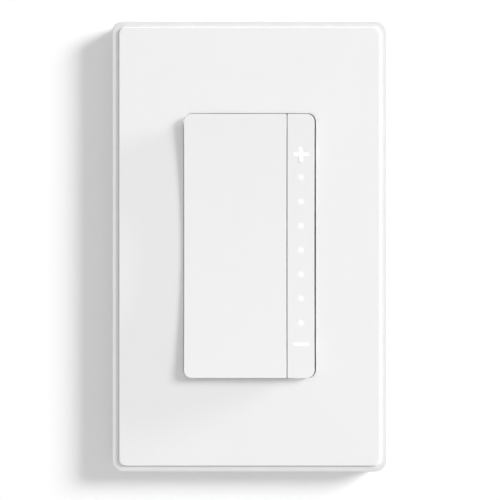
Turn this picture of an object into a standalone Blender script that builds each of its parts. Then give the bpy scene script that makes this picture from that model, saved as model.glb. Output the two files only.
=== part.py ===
"""Wall dimmer: an on/off paddle and a dimming bar in a screwless wall plate.

Metres, +Z up. The wall surface is the plane y = 0, the front faces -Y, and the rear housing reaches into the
wall box along +Y. The origin is the centre of the device on the wall surface.
"""
import math

import bmesh
import bpy
from mathutils import Vector

# Clearance between neighbouring pieces, and how far joined or cutting shapes reach past a surface.
GAP = 0.0003
REACH = 0.0005

# Wall plate: an outer frame with a rim, and a snap-on cover that stands a little prouder.
PLATE_WIDTH = 0.06985
PLATE_HEIGHT = 0.1143
PLATE_CORNER = 0.0028
RIM_FRONT_Y = -0.0066
RIM_ROUNDING = 0.0009
RIM_WALL = 0.0012
WEB_FRONT_Y = -0.0033
WEB_BACK_Y = -0.0019
WEB_OPENING_WIDTH = 0.0343
WEB_OPENING_HEIGHT = 0.0678
WEB_OPENING_CORNER = 0.0026
COVER_FRONT_Y = -0.0072
COVER_CORNER = 0.0016
COVER_EDGE_BEVEL = 0.00035
COVER_THICKNESS = 0.0015
COVER_SKIRT = 0.0012
OPENING_WIDTH = 0.0335
OPENING_HEIGHT = 0.0671
OPENING_CORNER = 0.0025
SNAP_LENGTH = 0.008
SNAP_DEPTH = 0.0008
SNAP_PROUD = 0.0003
SNAP_CENTRE_Y = -0.0045
SNAP_SPACING_Z = 0.07

# Insert: the paddle and the bar share one rounded outline and one concave front.
INSERT_WIDTH = 0.0329
INSERT_HEIGHT = 0.0665
INSERT_CORNER = 0.0021
DIVIDER_CORNER = 0.0003
INSERT_MIDDLE_PROUD = 0.00065
INSERT_END_PROUD = 0.002
INSERT_SKIN = 0.0013
INSERT_SKIRT_BACK_Y = -0.0057
DIVIDER_LEFT_X = 0.00928
DIVIDER_RIGHT_X = 0.00962
SKIRT_WALL = 0.0007
SKIRT_HALF_WIDTH = 0.01505
SKIRT_HALF_HEIGHT = 0.0317
CURVE_STEPS = 14

# Paddle hinge at the top, its foot on the paddle switch.
PADDLE_HINGE_Z = 0.0275
HINGE_Y = -0.0045
PADDLE_SWITCH_X = -0.004
PADDLE_SWITCH_ARM = 0.0115
PADDLE_SKIRT_RIGHT_X = 0.00875
PADDLE_BOSS_XS = (-0.012, 0.006)
PADDLE_BOSS_HALF_WIDTH = 0.00125
PADDLE_BOSS_HALF_HEIGHT = 0.0019
PADDLE_BOSS_BACK_Y = -0.0027
HINGE_PIN_RADIUS = 0.00075
HINGE_HOLE_RADIUS = 0.00105
FOOT_TIP_Y = -0.0047
FOOT_HALF_WIDTH = 0.0012

# Marks on the bar: plus, seven dots and minus on one pitch. The bar rocks about the middle dot.
MARK_X = 0.013
MARK_CENTRE_Z = -0.0009
MARK_PITCH = 0.00613
DOT_COUNT = 7
DOT_RADIUS = 0.00063
MARK_LENGTH = 0.0039
MARK_STROKE = 0.001
PLUS_Z = MARK_CENTRE_Z + 0.0242
MINUS_Z = MARK_CENTRE_Z - 0.0238
BAR_SKIRT_LEFT_X = 0.01035
BAR_STUB_RADIUS = 0.0008
BAR_STUB_HOLE_RADIUS = 0.0011
BAR_STUB_LENGTH = 0.0008
BAR_EAR_BACK_Y = -0.0035
BAR_SWITCH_X = 0.01175
BAR_SWITCH_ARM = 0.00915
BAR_FOOT_LEFT_X = 0.0109
BAR_FOOT_RIGHT_X = 0.012
BAR_FOOT_HALF_HEIGHT = 0.0008
GUIDE_STRIP_HALF_WIDTH = 0.00075
GUIDE_STRIP_FRONT_Y = -0.0056
GUIDE_STRIP_BACK_Y = -0.0046
GUIDE_POST_BACK_Y = -0.0025
GUIDE_POST_RADIUS = 0.0006

# Front frame: a flange in front of the yoke and a tub that drops through the yoke's window.
FRAME_WIDTH = 0.033
FRAME_HEIGHT = 0.0665
FRAME_CORNER = 0.0022
FRAME_FRONT_Y = -0.0046
FRAME_STEP_Y = -0.0031
FRAME_FLANGE_BACK_Y = -0.0019
FRAME_WALL = 0.0011
TUB_WIDTH = 0.0304
TUB_HEIGHT = 0.0624
TUB_WALL = 0.0012
TUB_FLOOR_Y = 0.0012
TUB_BACK_Y = 0.0024
PARTITION_LEFT_X = 0.0091
PARTITION_RIGHT_X = 0.01
PARTITION_BACK_Y = -0.0006
LUG_FRONT_Y = -0.0059
LUG_HALF_HEIGHT = 0.0022
LUG_INSET = 0.0001
HOOK_HALF_WIDTH = 0.005
HOOK_PROUD = 0.0011
HOOK_BACK_Y = 0.0012

# Control board in the tub.
CONTROL_BOARD_WIDTH = 0.0274
CONTROL_BOARD_HEIGHT = 0.0594
CONTROL_BOARD_CORNER = 0.0008
CONTROL_BOARD_FRONT_Y = -0.0003
CONTROL_BOARD_BACK_Y = 0.0009
ON_BOARD_Y = CONTROL_BOARD_FRONT_Y - GAP
SWITCH_FRONT_Y = -0.0034
SWITCH_BORE_END_Y = -0.002
PLUNGER_FRONT_Y = -0.0044
PLUNGER_BACK_Y = -0.0026
PADDLE_SWITCH_SIZE = 0.006
BAR_SWITCH_WIDTH = 0.0028
BAR_SWITCH_HEIGHT = 0.0034
PADDLE_PLUNGER_RADIUS = 0.0015
BAR_PLUNGER_RADIUS = 0.0007
SWITCH_CORNER = 0.0003
LED_WIDTH = 0.0016
LED_HEIGHT = 0.0012
LED_DEPTH = 0.0007
LED_CHAMFER = 0.0002
CHIP_CENTRE = (-0.005, -0.008)
CHIP_WIDTH = 0.012
CHIP_HEIGHT = 0.016
CHIP_DEPTH = 0.002
CHIP_CORNER = 0.0008
CHIP_CHAMFER = 0.0003
HEADER_CENTRE = (-0.002, -0.024)
HEADER_WIDTH = 0.01
HEADER_HEIGHT = 0.0025

# Mounting yoke: a steel strap with a window, four ear pads and a ground tab.
YOKE_WIDTH = 0.0445
YOKE_HEIGHT = 0.1064
YOKE_CORNER = 0.003
YOKE_FRONT_Y = -0.0016
YOKE_BACK_Y = -0.0003
YOKE_WINDOW_WIDTH = 0.031
YOKE_WINDOW_HEIGHT = 0.063
EAR_PAD_SIZE = 0.01
EAR_PAD_CORNER = 0.0028
BOX_SCREW_Z = 0.08325 / 2
BOX_SLOT_WIDTH = 0.0066
BOX_SLOT_HEIGHT = 0.0042
BOX_SLOT_CORNER = 0.00205
BOX_SCREW_CLEARANCE_RADIUS = 0.0042
WASHER_SIZE = 0.009
WASHER_CORNER = 0.0015
WASHER_THICKNESS = 0.0008
WASHER_HOLE_RADIUS = 0.002
PLATE_SCREW_Z = 0.0968 / 2
PLATE_SCREW_HOLE_RADIUS = 0.002
GROUND_TAB_LEFT_X = -0.02
GROUND_TAB_RIGHT_X = -0.01
GROUND_TAB_TOP_Z = -0.0356
GROUND_TAB_THICKNESS = 0.0013
GROUND_TAB_BACK_Y = 0.0105
GROUND_SCREW_Y = 0.0058

# Rear housing: a wide front section against the yoke and a narrower rear section with the terminals.
HOUSING_WIDTH = 0.044
HOUSING_HEIGHT = 0.069
HOUSING_CORNER = 0.003
HOUSING_STEP_Y = 0.008
HOUSING_REAR_WIDTH = 0.038
HOUSING_REAR_HEIGHT = 0.057
HOUSING_BACK_Y = 0.033
HOUSING_WALL = 0.0016
HOUSING_SCREW_X = 0.0184
HOUSING_SCREW_Z = 0.0308
HOUSING_BOSS_RADIUS = 0.0026
HOUSING_SCREW_HOLE_RADIUS = 0.0015
TERMINAL_Y = 0.024
TERMINAL_Z = 0.0125
TERMINAL_WINDOW = 0.0084
BARRIER_ZS = (-0.019, -0.006, 0.006, 0.019)
BARRIER_THICKNESS = 0.0012
BARRIER_OUTER_X = 0.0214
BARRIER_FRONT_Y = 0.017

# Heat spreader, triac and power board behind the tub.
SPREADER_WIDTH = 0.039
SPREADER_HEIGHT = 0.055
SPREADER_CORNER = 0.001
SPREADER_FRONT_Y = 0.0028
SPREADER_BACK_Y = 0.0043
SPREADER_FLANGE_X = 0.017
SPREADER_FLANGE_THICKNESS = 0.0015
SPREADER_FLANGE_HALF_HEIGHT = 0.024
TRIAC_X = -0.008
TRIAC_SCREW_Z = 0.0145
TRIAC_WIDTH = 0.0102
TRIAC_TAB_THICKNESS = 0.0013
TRIAC_BODY_DEPTH = 0.0044
TRIAC_BODY_LOW_Z = 0.002
TRIAC_BODY_HIGH_Z = 0.0112
TRIAC_TAB_TOP_Z = 0.0175
TRIAC_PAD_THICKNESS = 0.0003
TRIAC_PAD_MARGIN = 0.001
TRIAC_PAD_CORNER = 0.0005
TRIAC_HOLE_RADIUS = 0.0018
TRIAC_LEAD_DROP = 0.0025
TRIAC_LEAD_WIDTH = 0.0008
TRIAC_LEAD_SPACING = 0.00254
POWER_BOARD_WIDTH = 0.034
POWER_BOARD_HEIGHT = 0.053
POWER_BOARD_CORNER = 0.001
POWER_BOARD_FRONT_Y = 0.014
POWER_BOARD_BACK_Y = 0.0156
BEHIND_BOARD_Y = POWER_BOARD_BACK_Y + GAP

# Components on the power board: centres in X and Z, and sizes.
TRANSFORMER_CENTRE = (-0.0072, 0.017)
TRANSFORMER_CORE = (0.0128, 0.006)
TRANSFORMER_CORE_DEPTHS = (0.001, 0.0125)
TRANSFORMER_WINDING = (0.008, 0.0124)
TRANSFORMER_WINDING_DEPTHS = (0.0025, 0.011)
TRANSFORMER_BASE = (0.0116, 0.0132)
TRANSFORMER_BASE_DEPTHS = (0.0, 0.0018)
CHOKE_CENTRE = (0.0072, 0.0165)
CHOKE_RING_RADIUS = 0.0048
CHOKE_SECTION_HALF_WIDTH = 0.0022
CHOKE_DEPTH = 0.006
CHOKE_ROUNDING = 0.0012
FILM_CAPACITOR_CENTRE = (-0.0055, -0.0015)
FILM_CAPACITOR_WIDTH = 0.0175
FILM_CAPACITOR_HEIGHT = 0.008
FILM_CAPACITOR_CORNER = 0.0006
FILM_CAPACITOR_DEPTH = 0.012
CAN_CENTRE = (0.0095, 0.0015)
CAN_RADIUS = 0.004
CAN_GROOVE_RADIUS = 0.0036
CAN_GROOVE_START = 0.0018
CAN_GROOVE_SLOPE = 0.0004
CAN_GROOVE_WIDTH = 0.0014
CAN_DEPTH = 0.0135
CAN_TOP_ROUNDING = 0.0004
VARISTOR_CENTRE = (-0.0085, -0.0125)
VARISTOR_RADIUS = 0.0045
VARISTOR_HALF_THICKNESS = 0.0018
VARISTOR_STAND_OFF = 0.001
VARISTOR_LEAD_RADIUS = 0.0004
VARISTOR_LEAD_SHIFT = 0.0025
FUSE_CENTRE = (0.0095, -0.0095)
FUSE_RADIUS = 0.0042
FUSE_DEPTH = 0.008

# Terminals: a plate in each housing window, with a pin to the power board.
TERMINAL_PLATE_THICKNESS = 0.001
TERMINAL_PIN_REACH = 0.0022
TERMINAL_PIN_HALF_HEIGHT = 0.0015
TERMINAL_HOLE_RADIUS = 0.0019

# Screws: head radius, head depth, shank radius, and length under the head.
PLATE_SCREW_SIZE = (0.0032, 0.0017, 0.0016, 0.0106)
BOX_SCREW_SIZE = (0.0037, 0.002, 0.0017, 0.021)
GROUND_SCREW_SIZE = (0.0036, 0.002, 0.0017, 0.0018)
HOUSING_SCREW_SIZE = (0.0023, 0.0016, 0.0012, 0.0096)
TERMINAL_SCREW_SIZE = (0.0032, 0.0019, 0.0015, 0.0042)
TRIAC_SCREW_HEAD_RADIUS = 0.0028
TRIAC_SCREW_HEAD_DEPTH = 0.0018
TRIAC_SCREW_SHANK_RADIUS = 0.0015

# Torsion spring round the paddle's hinge pin.
SPRING_COIL_RADIUS = 0.00135
SPRING_WIRE_RADIUS = 0.0002
SPRING_TURNS = 4.5
SPRING_STEPS_PER_TURN = 10
SPRING_FIRST_X = -0.0095
SPRING_LAST_X = -0.0065
SPRING_LEG_LENGTH = 0.006

ROUND_SIDES = 20
SMALL_SIDES = 12
CORNER_STEPS = 4
IN_FRONT_OF_ALL_Y = -0.015


def clear_scene():
    """Takes every object out of the scene."""
    for old_object in list(bpy.data.objects):
        bpy.data.objects.remove(old_object, do_unlink=True)


def material(name, colour, roughness, metallic=0.0):
    """One Principled BSDF material."""
    made = bpy.data.materials.new(name)
    made.use_nodes = True
    shader = made.node_tree.nodes["Principled BSDF"]
    shader.inputs["Base Color"].default_value = (*colour, 1.0)
    shader.inputs["Roughness"].default_value = roughness
    shader.inputs["Metallic"].default_value = metallic
    return made


def rounded_rectangle(width, height, radius, centre=(0.0, 0.0)):
    """Outline in X and Z. radius is one number, or lower left, lower right, upper right and upper left."""
    radii = radius if isinstance(radius, tuple) else (radius,) * 4
    signs = ((-1, -1), (1, -1), (1, 1), (-1, 1))
    points = []
    for index, (sign_x, sign_z) in enumerate(signs):
        corner = radii[index]
        middle_x = centre[0] + sign_x * (width / 2 - corner)
        middle_z = centre[1] + sign_z * (height / 2 - corner)
        for step in range(CORNER_STEPS + 1):
            angle = math.pi + (index + step / CORNER_STEPS) * math.pi / 2
            points.append((middle_x + corner * math.cos(angle), middle_z + corner * math.sin(angle)))
    return points


def extruded(points, direction):
    """Solid made by extruding the flat face through the points along a direction."""
    shape = bmesh.new()
    face = shape.faces.new([shape.verts.new(point) for point in points])
    moved = bmesh.ops.extrude_face_region(shape, geom=[face])["geom"]
    new_points = [item for item in moved if isinstance(item, bmesh.types.BMVert)]
    bmesh.ops.translate(shape, verts=new_points, vec=direction)
    bmesh.ops.recalc_face_normals(shape, faces=shape.faces)
    return shape


def prism(outline, front_y, back_y):
    """Solid with an X-Z outline, from front_y to back_y."""
    return extruded([(x, front_y, z) for x, z in outline], (0.0, back_y - front_y, 0.0))


def box(low, high):
    """Box between two corners."""
    outline = [(low[0], low[2]), (high[0], low[2]), (high[0], high[2]), (low[0], high[2])]
    return prism(outline, low[1], high[1])


def block(centre, size, depths, start_y):
    """Box centred in X and Z, between two depths behind start_y."""
    low = (centre[0] - size[0] / 2, start_y + depths[0], centre[1] - size[1] / 2)
    return box(low, (centre[0] + size[0] / 2, start_y + depths[1], centre[1] + size[1] / 2))


def side_box(side, inner_x, outer_x, front_y, back_y, z, half_height):
    """Box on the right (side 1) or the left (side -1), between two distances from the middle."""
    left_x, right_x = sorted((side * inner_x, side * outer_x))
    return box((left_x, front_y, z - half_height), (right_x, back_y, z + half_height))


def rod(start, end, radius, sides=SMALL_SIDES):
    """Round bar between two points."""
    start = Vector(start)
    along = Vector(end) - start
    shape = bmesh.new()
    bmesh.ops.create_cone(
        shape, cap_ends=True, segments=sides, radius1=radius, radius2=radius, depth=along.length
    )
    turn = Vector((0.0, 0.0, 1.0)).rotation_difference(along)
    bmesh.ops.rotate(shape, verts=shape.verts, cent=(0.0, 0.0, 0.0), matrix=turn.to_matrix())
    bmesh.ops.translate(shape, verts=shape.verts, vec=start + along / 2)
    return shape


def turned(profile, sides):
    """Solid turned about the Y axis, from pairs of y and radius."""
    shape = bmesh.new()
    rings = []
    for y, radius in profile:
        ring = []
        for side in range(sides):
            angle = 2 * math.pi * side / sides
            ring.append(shape.verts.new((radius * math.cos(angle), y, radius * math.sin(angle))))
        rings.append(ring)
    for ring, next_ring in zip(rings, rings[1:]):
        for side in range(sides):
            following = (side + 1) % sides
            shape.faces.new((ring[side], ring[following], next_ring[following], next_ring[side]))
    shape.faces.new(rings[0])
    shape.faces.new(rings[-1])
    return shape


def soften_front(shape, front_y, width, segments):
    """Bevels the edges that bound the face at front_y."""
    edges = [edge for edge in shape.edges if all(abs(point.co.y - front_y) < 1e-7 for point in edge.verts)]
    bmesh.ops.bevel(shape, geom=edges, offset=width, segments=segments, profile=0.5, affect="EDGES")
    return shape


def insert_front_y(z):
    """Depth of the concave front of the paddle and the bar at height z."""
    rise = INSERT_END_PROUD - INSERT_MIDDLE_PROUD
    return COVER_FRONT_Y - INSERT_MIDDLE_PROUD - rise * (2 * z / INSERT_HEIGHT) ** 2


def curved_block(low_x, high_x, low_z, high_z, front_offset, back_y=None, thickness=None):
    """Block whose front follows the concave face, front_offset behind it. Its back is flat or follows too."""
    steps = max(2, round(CURVE_STEPS * (high_z - low_z) / INSERT_HEIGHT))
    heights = [low_z + (high_z - low_z) * step / steps for step in range(steps + 1)]
    profile = [(low_x, insert_front_y(z) + front_offset, z) for z in heights]
    if thickness is None:
        profile += [(low_x, back_y, high_z), (low_x, back_y, low_z)]
    else:
        profile += [(low_x, insert_front_y(z) + front_offset + thickness, z) for z in reversed(heights)]
    return extruded(profile, (high_x - low_x, 0.0, 0.0))


def add(name, shape, look, smooth_angle=30.0):
    """New object with this shape, shaded smooth across gentle angles."""
    bmesh.ops.recalc_face_normals(shape, faces=shape.faces)
    mesh = bpy.data.meshes.new(name)
    shape.to_mesh(mesh)
    shape.free()
    mesh.materials.append(look)
    mesh.shade_smooth()
    mesh.set_sharp_from_angle(angle=math.radians(smooth_angle))
    made = bpy.data.objects.new(name, mesh)
    bpy.context.scene.collection.objects.link(made)
    return made


def boolean(target, shape, operation):
    """Applies a Boolean of a temporary tool shape to the target."""
    tool = add("tool", shape, target.data.materials[0])
    modifier = target.modifiers.new("shape", "BOOLEAN")
    modifier.operation = operation
    modifier.solver = "EXACT"
    modifier.object = tool
    depsgraph = bpy.context.evaluated_depsgraph_get()
    shaped = bpy.data.meshes.new_from_object(target.evaluated_get(depsgraph))
    target.modifiers.clear()
    target.data = shaped
    bpy.data.objects.remove(tool, do_unlink=True)


def cut(target, shape):
    """Cuts a shape away."""
    boolean(target, shape, "DIFFERENCE")


def join(target, shape):
    """Joins a shape that overlaps the target."""
    boolean(target, shape, "UNION")


def keep_inside(target, shape):
    """Keeps only what is inside a shape."""
    boolean(target, shape, "INTERSECT")


def set_origin(target, point):
    """Puts the object's origin at a point without moving its shape."""
    for corner in target.data.vertices:
        corner.co -= Vector(point)
    target.location = point


def attach(target, pivot):
    """Parents a piece to its joint's empty, which sits at the piece's own origin."""
    set_origin(target, pivot.location)
    target.parent = pivot
    target.location = (0.0, 0.0, 0.0)


def add_pivot(name, point):
    """Empty on a joint's axis."""
    pivot = bpy.data.objects.new(name, None)
    pivot.location = point
    bpy.context.scene.collection.objects.link(pivot)
    return pivot


def copy_of(original, name, location, rotation=(0.0, 0.0, 0.0)):
    """Second object that shares the original's mesh."""
    twin = bpy.data.objects.new(name, original.data)
    twin.location = location
    twin.rotation_euler = rotation
    bpy.context.scene.collection.objects.link(twin)
    return twin


def add_screw(name, look, head_radius, head_depth, shank_radius, length, sides=ROUND_SIDES):
    """Pan-head screw at its own origin: the head's underside at y = 0, the head towards -Y, the shank +Y."""
    head = rod((0, -head_depth, 0), (0, 0, 0), head_radius, sides)
    screw = add(name, soften_front(head, -head_depth, head_depth * 0.4, 2), look)
    join(screw, rod((0, -head_depth / 2, 0), (0, length, 0), shank_radius))
    slot_half = head_radius * 0.6
    slot_width = head_radius * 0.15
    front_y = -head_depth - REACH
    floor_y = -head_depth * 0.45
    cut(screw, box((-slot_half, front_y, -slot_width), (slot_half, floor_y, slot_width)))
    cut(screw, box((-slot_width, front_y, -slot_half), (slot_width, floor_y, slot_half)))
    return screw


def make_wall_plate_cover(look):
    """Snap-on face: a shallow pan with a skirt, a collar round the opening and six snap bumps."""
    width = PLATE_WIDTH - 2 * RIM_WALL - 2 * GAP
    height = PLATE_HEIGHT - 2 * RIM_WALL - 2 * GAP
    back_y = WEB_FRONT_Y - GAP
    face = prism(rounded_rectangle(width, height, COVER_CORNER), COVER_FRONT_Y, back_y)
    cover = add("wall_plate_cover", soften_front(face, COVER_FRONT_Y, COVER_EDGE_BEVEL, 2), look)
    hollow_corner = COVER_CORNER - COVER_SKIRT / 2
    hollow = rounded_rectangle(width - 2 * COVER_SKIRT, height - 2 * COVER_SKIRT, hollow_corner)
    cut(cover, prism(hollow, COVER_FRONT_Y + COVER_THICKNESS, back_y + REACH))
    collar_width = OPENING_WIDTH + 2 * COVER_SKIRT
    collar_height = OPENING_HEIGHT + 2 * COVER_SKIRT
    collar = rounded_rectangle(collar_width, collar_height, OPENING_CORNER + COVER_SKIRT)
    join(cover, prism(collar, COVER_FRONT_Y + COVER_THICKNESS / 2, back_y))
    opening = rounded_rectangle(OPENING_WIDTH, OPENING_HEIGHT, OPENING_CORNER)
    cut(cover, prism(opening, COVER_FRONT_Y - REACH, back_y + REACH))
    for low, high in snap_boxes(width / 2, SNAP_PROUD, SNAP_LENGTH / 2, SNAP_DEPTH / 2):
        join(cover, box(low, high))


def snap_boxes(wall_x, proud, half_length, half_depth):
    """Corners of the boxes of the six snaps along the two long sides."""
    boxes = []
    for side in (-1, 1):
        for z in (-SNAP_SPACING_Z / 2, 0.0, SNAP_SPACING_Z / 2):
            xs = sorted((side * (wall_x - REACH), side * (wall_x + proud)))
            low = (xs[0], SNAP_CENTRE_Y - half_depth, z - half_length)
            high = (xs[1], SNAP_CENTRE_Y + half_depth, z + half_length)
            boxes.append((low, high))
    return boxes


def make_wall_plate_frame(look):
    """Outer frame: the rim, and a web behind the cover that the two plate screws hold to the yoke."""
    rim = prism(rounded_rectangle(PLATE_WIDTH, PLATE_HEIGHT, PLATE_CORNER), RIM_FRONT_Y, 0.0)
    frame = add("wall_plate_frame", soften_front(rim, RIM_FRONT_Y, RIM_ROUNDING, 3), look)
    inner_width = PLATE_WIDTH - 2 * RIM_WALL
    inner_height = PLATE_HEIGHT - 2 * RIM_WALL
    inner = rounded_rectangle(inner_width, inner_height, PLATE_CORNER - RIM_WALL / 2)
    cut(frame, prism(inner, RIM_FRONT_Y - REACH, WEB_FRONT_Y))
    cut(frame, prism(inner, WEB_BACK_Y, REACH))
    opening = rounded_rectangle(WEB_OPENING_WIDTH, WEB_OPENING_HEIGHT, WEB_OPENING_CORNER)
    cut(frame, prism(opening, WEB_FRONT_Y - REACH, WEB_BACK_Y + REACH))
    holes = ((PLATE_SCREW_Z, PLATE_SCREW_HOLE_RADIUS), (BOX_SCREW_Z, BOX_SCREW_CLEARANCE_RADIUS))
    for side in (-1, 1):
        for z, radius in holes:
            start = (0.0, WEB_FRONT_Y - REACH, side * z)
            cut(frame, rod(start, (0.0, WEB_BACK_Y + REACH, side * z), radius, ROUND_SIDES))
    room = (SNAP_PROUD + GAP, SNAP_LENGTH / 2 + GAP, SNAP_DEPTH / 2 + GAP)
    for low, high in snap_boxes(inner_width / 2, *room):
        cut(frame, box(low, high))


def make_plate_screws(look):
    """Two short screws from the plate frame's web into the yoke."""
    head_back_y = WEB_FRONT_Y - GAP
    top = add_screw("wall_plate_screw_top", look, *PLATE_SCREW_SIZE)
    top.location = (0.0, head_back_y, PLATE_SCREW_Z)
    copy_of(top, "wall_plate_screw_bottom", (0.0, head_back_y, -PLATE_SCREW_Z))


def make_on_off_paddle(look, pivot):
    """Concave cap with a skirt, two hinge bosses, a rib and the foot that presses the paddle switch."""
    half_width = INSERT_WIDTH / 2
    half_height = INSERT_HEIGHT / 2
    slab = curved_block(-half_width, DIVIDER_LEFT_X, -half_height, half_height, 0.0, thickness=INSERT_SKIN)
    paddle = add("on_off_paddle", slab, look)
    width = DIVIDER_LEFT_X + half_width
    radii = (INSERT_CORNER, DIVIDER_CORNER, DIVIDER_CORNER, INSERT_CORNER)
    centre = (DIVIDER_LEFT_X - width / 2, 0.0)
    outline = rounded_rectangle(width, INSERT_HEIGHT, radii, centre)
    keep_inside(paddle, prism(outline, IN_FRONT_OF_ALL_Y, 0.0))
    add_skirt(paddle, -SKIRT_HALF_WIDTH, PADDLE_SKIRT_RIGHT_X)
    inside_skin = INSERT_SKIN / 2
    for x in PADDLE_BOSS_XS:
        low_x = x - PADDLE_BOSS_HALF_WIDTH
        high_x = x + PADDLE_BOSS_HALF_WIDTH
        low_z = PADDLE_HINGE_Z - PADDLE_BOSS_HALF_HEIGHT
        high_z = PADDLE_HINGE_Z + PADDLE_BOSS_HALF_HEIGHT
        join(paddle, curved_block(low_x, high_x, low_z, high_z, inside_skin, PADDLE_BOSS_BACK_Y))
        hole_start = (low_x - REACH, HINGE_Y, PADDLE_HINGE_Z)
        cut(paddle, rod(hole_start, (high_x + REACH, HINGE_Y, PADDLE_HINGE_Z), HINGE_HOLE_RADIUS))
    foot_z = PADDLE_HINGE_Z - PADDLE_SWITCH_ARM
    foot_left = PADDLE_SWITCH_X - FOOT_HALF_WIDTH
    foot_right = PADDLE_SWITCH_X + FOOT_HALF_WIDTH
    foot_low = foot_z - FOOT_HALF_WIDTH
    foot_high = foot_z + FOOT_HALF_WIDTH
    join(paddle, curved_block(foot_left, foot_right, foot_low, foot_high, inside_skin, FOOT_TIP_Y))
    rib_x = (PADDLE_SKIRT_RIGHT_X - SKIRT_HALF_WIDTH) / 2
    rib_low_z = -SKIRT_HALF_HEIGHT + SKIRT_WALL / 2
    rib = (rib_x - SKIRT_WALL / 2, rib_x + SKIRT_WALL / 2, rib_low_z, foot_low - GAP)
    join(paddle, curved_block(*rib, inside_skin, INSERT_SKIRT_BACK_Y))
    attach(paddle, pivot)


def add_skirt(cap, left_x, right_x):
    """Joins four thin walls behind a cap's skin."""
    bottom_z = -SKIRT_HALF_HEIGHT
    top_z = SKIRT_HALF_HEIGHT
    walls = (
        (left_x, left_x + SKIRT_WALL, bottom_z, top_z),
        (right_x - SKIRT_WALL, right_x, bottom_z, top_z),
        (left_x, right_x, bottom_z, bottom_z + SKIRT_WALL),
        (left_x, right_x, top_z - SKIRT_WALL, top_z),
    )
    for wall in walls:
        join(cap, curved_block(*wall, INSERT_SKIN / 2, INSERT_SKIRT_BACK_Y))


def mark_shapes(extra, front_y, back_y):
    """Solids of the plus, the dots and the minus, grown by extra all round."""
    half_length = MARK_LENGTH / 2 + extra
    half_stroke = MARK_STROKE / 2 + extra
    strokes = (
        (PLUS_Z, half_length, half_stroke),
        (PLUS_Z, half_stroke, half_length),
        (MINUS_Z, half_length, half_stroke),
    )
    shapes = []
    for z, half_width, half_height in strokes:
        low = (MARK_X - half_width, front_y(z), z - half_height)
        shapes.append(box(low, (MARK_X + half_width, back_y, z + half_height)))
    for z in dot_heights():
        shapes.append(rod((MARK_X, front_y(z), z), (MARK_X, back_y, z), DOT_RADIUS + extra))
    return shapes


def dot_heights():
    """Heights of the seven dots, from the top."""
    first = MARK_CENTRE_Z + MARK_PITCH * (DOT_COUNT - 1) / 2
    return [first - MARK_PITCH * index for index in range(DOT_COUNT)]


def make_dimmer_bar(look, pivot):
    """Concave rocker bar with openings for the marks, two pivot stubs and a foot for each of its switches."""
    half_width = INSERT_WIDTH / 2
    half_height = INSERT_HEIGHT / 2
    slab = curved_block(DIVIDER_RIGHT_X, half_width, -half_height, half_height, 0.0, thickness=INSERT_SKIN)
    bar = add("dimmer_bar", slab, look)
    width = half_width - DIVIDER_RIGHT_X
    radii = (DIVIDER_CORNER, INSERT_CORNER, INSERT_CORNER, DIVIDER_CORNER)
    outline = rounded_rectangle(width, INSERT_HEIGHT, radii, (half_width - width / 2, 0.0))
    keep_inside(bar, prism(outline, IN_FRONT_OF_ALL_Y, 0.0))
    add_skirt(bar, BAR_SKIRT_LEFT_X, SKIRT_HALF_WIDTH)
    ear_low_z = MARK_CENTRE_Z - LUG_HALF_HEIGHT
    ear_high_z = MARK_CENTRE_Z + LUG_HALF_HEIGHT
    for skirt_left_x, stub_shift in ((BAR_SKIRT_LEFT_X, -1), (SKIRT_HALF_WIDTH - SKIRT_WALL, 1)):
        skirt_x = skirt_left_x + SKIRT_WALL / 2
        ear_left_x = skirt_left_x + LUG_INSET
        ear_right_x = skirt_left_x + SKIRT_WALL - LUG_INSET
        ear = (ear_left_x, ear_right_x, ear_low_z, ear_high_z)
        join(bar, curved_block(*ear, INSERT_SKIN / 2, BAR_EAR_BACK_Y))
        stub_end_x = skirt_x + stub_shift * (SKIRT_WALL / 2 + BAR_STUB_LENGTH)
        stub_end = (stub_end_x, HINGE_Y, MARK_CENTRE_Z)
        join(bar, rod((skirt_x, HINGE_Y, MARK_CENTRE_Z), stub_end, BAR_STUB_RADIUS))
    for side in (-1, 1):
        z = MARK_CENTRE_Z + side * BAR_SWITCH_ARM
        foot = (BAR_FOOT_LEFT_X, BAR_FOOT_RIGHT_X, z - BAR_FOOT_HALF_HEIGHT, z + BAR_FOOT_HALF_HEIGHT)
        join(bar, curved_block(*foot, INSERT_SKIN / 2, FOOT_TIP_Y))
    for shape in mark_shapes(GAP, lambda z: IN_FRONT_OF_ALL_Y, INSERT_SKIRT_BACK_Y + REACH):
        cut(bar, shape)
    attach(bar, pivot)


def make_bar_light_guide(look, pivot):
    """Translucent moulding in the bar: a strip, the marks in front and a post behind for each LED."""
    low = (MARK_X - GUIDE_STRIP_HALF_WIDTH, GUIDE_STRIP_FRONT_Y, MINUS_Z - MARK_STROKE)
    high = (MARK_X + GUIDE_STRIP_HALF_WIDTH, GUIDE_STRIP_BACK_Y, PLUS_Z + MARK_STROKE)
    guide = add("bar_light_guide", box(low, high), look)
    for shape in mark_shapes(0.0, insert_front_y, GUIDE_STRIP_FRONT_Y + REACH):
        join(guide, shape)
    for z in dot_heights():
        start = (MARK_X, GUIDE_STRIP_BACK_Y - REACH, z)
        join(guide, rod(start, (MARK_X, GUIDE_POST_BACK_Y, z), GUIDE_POST_RADIUS, 8))
    attach(guide, pivot)


def make_paddle_hinge_pin(look):
    """Steel pin from the frame's left lug to the partition."""
    start_x = -FRAME_WIDTH / 2 + GAP
    end_x = PARTITION_RIGHT_X
    pin = rod((start_x, HINGE_Y, PADDLE_HINGE_Z), (end_x, HINGE_Y, PADDLE_HINGE_Z), HINGE_PIN_RADIUS)
    set_origin(add("paddle_hinge_pin", pin, look), ((start_x + end_x) / 2, HINGE_Y, PADDLE_HINGE_Z))


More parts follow.
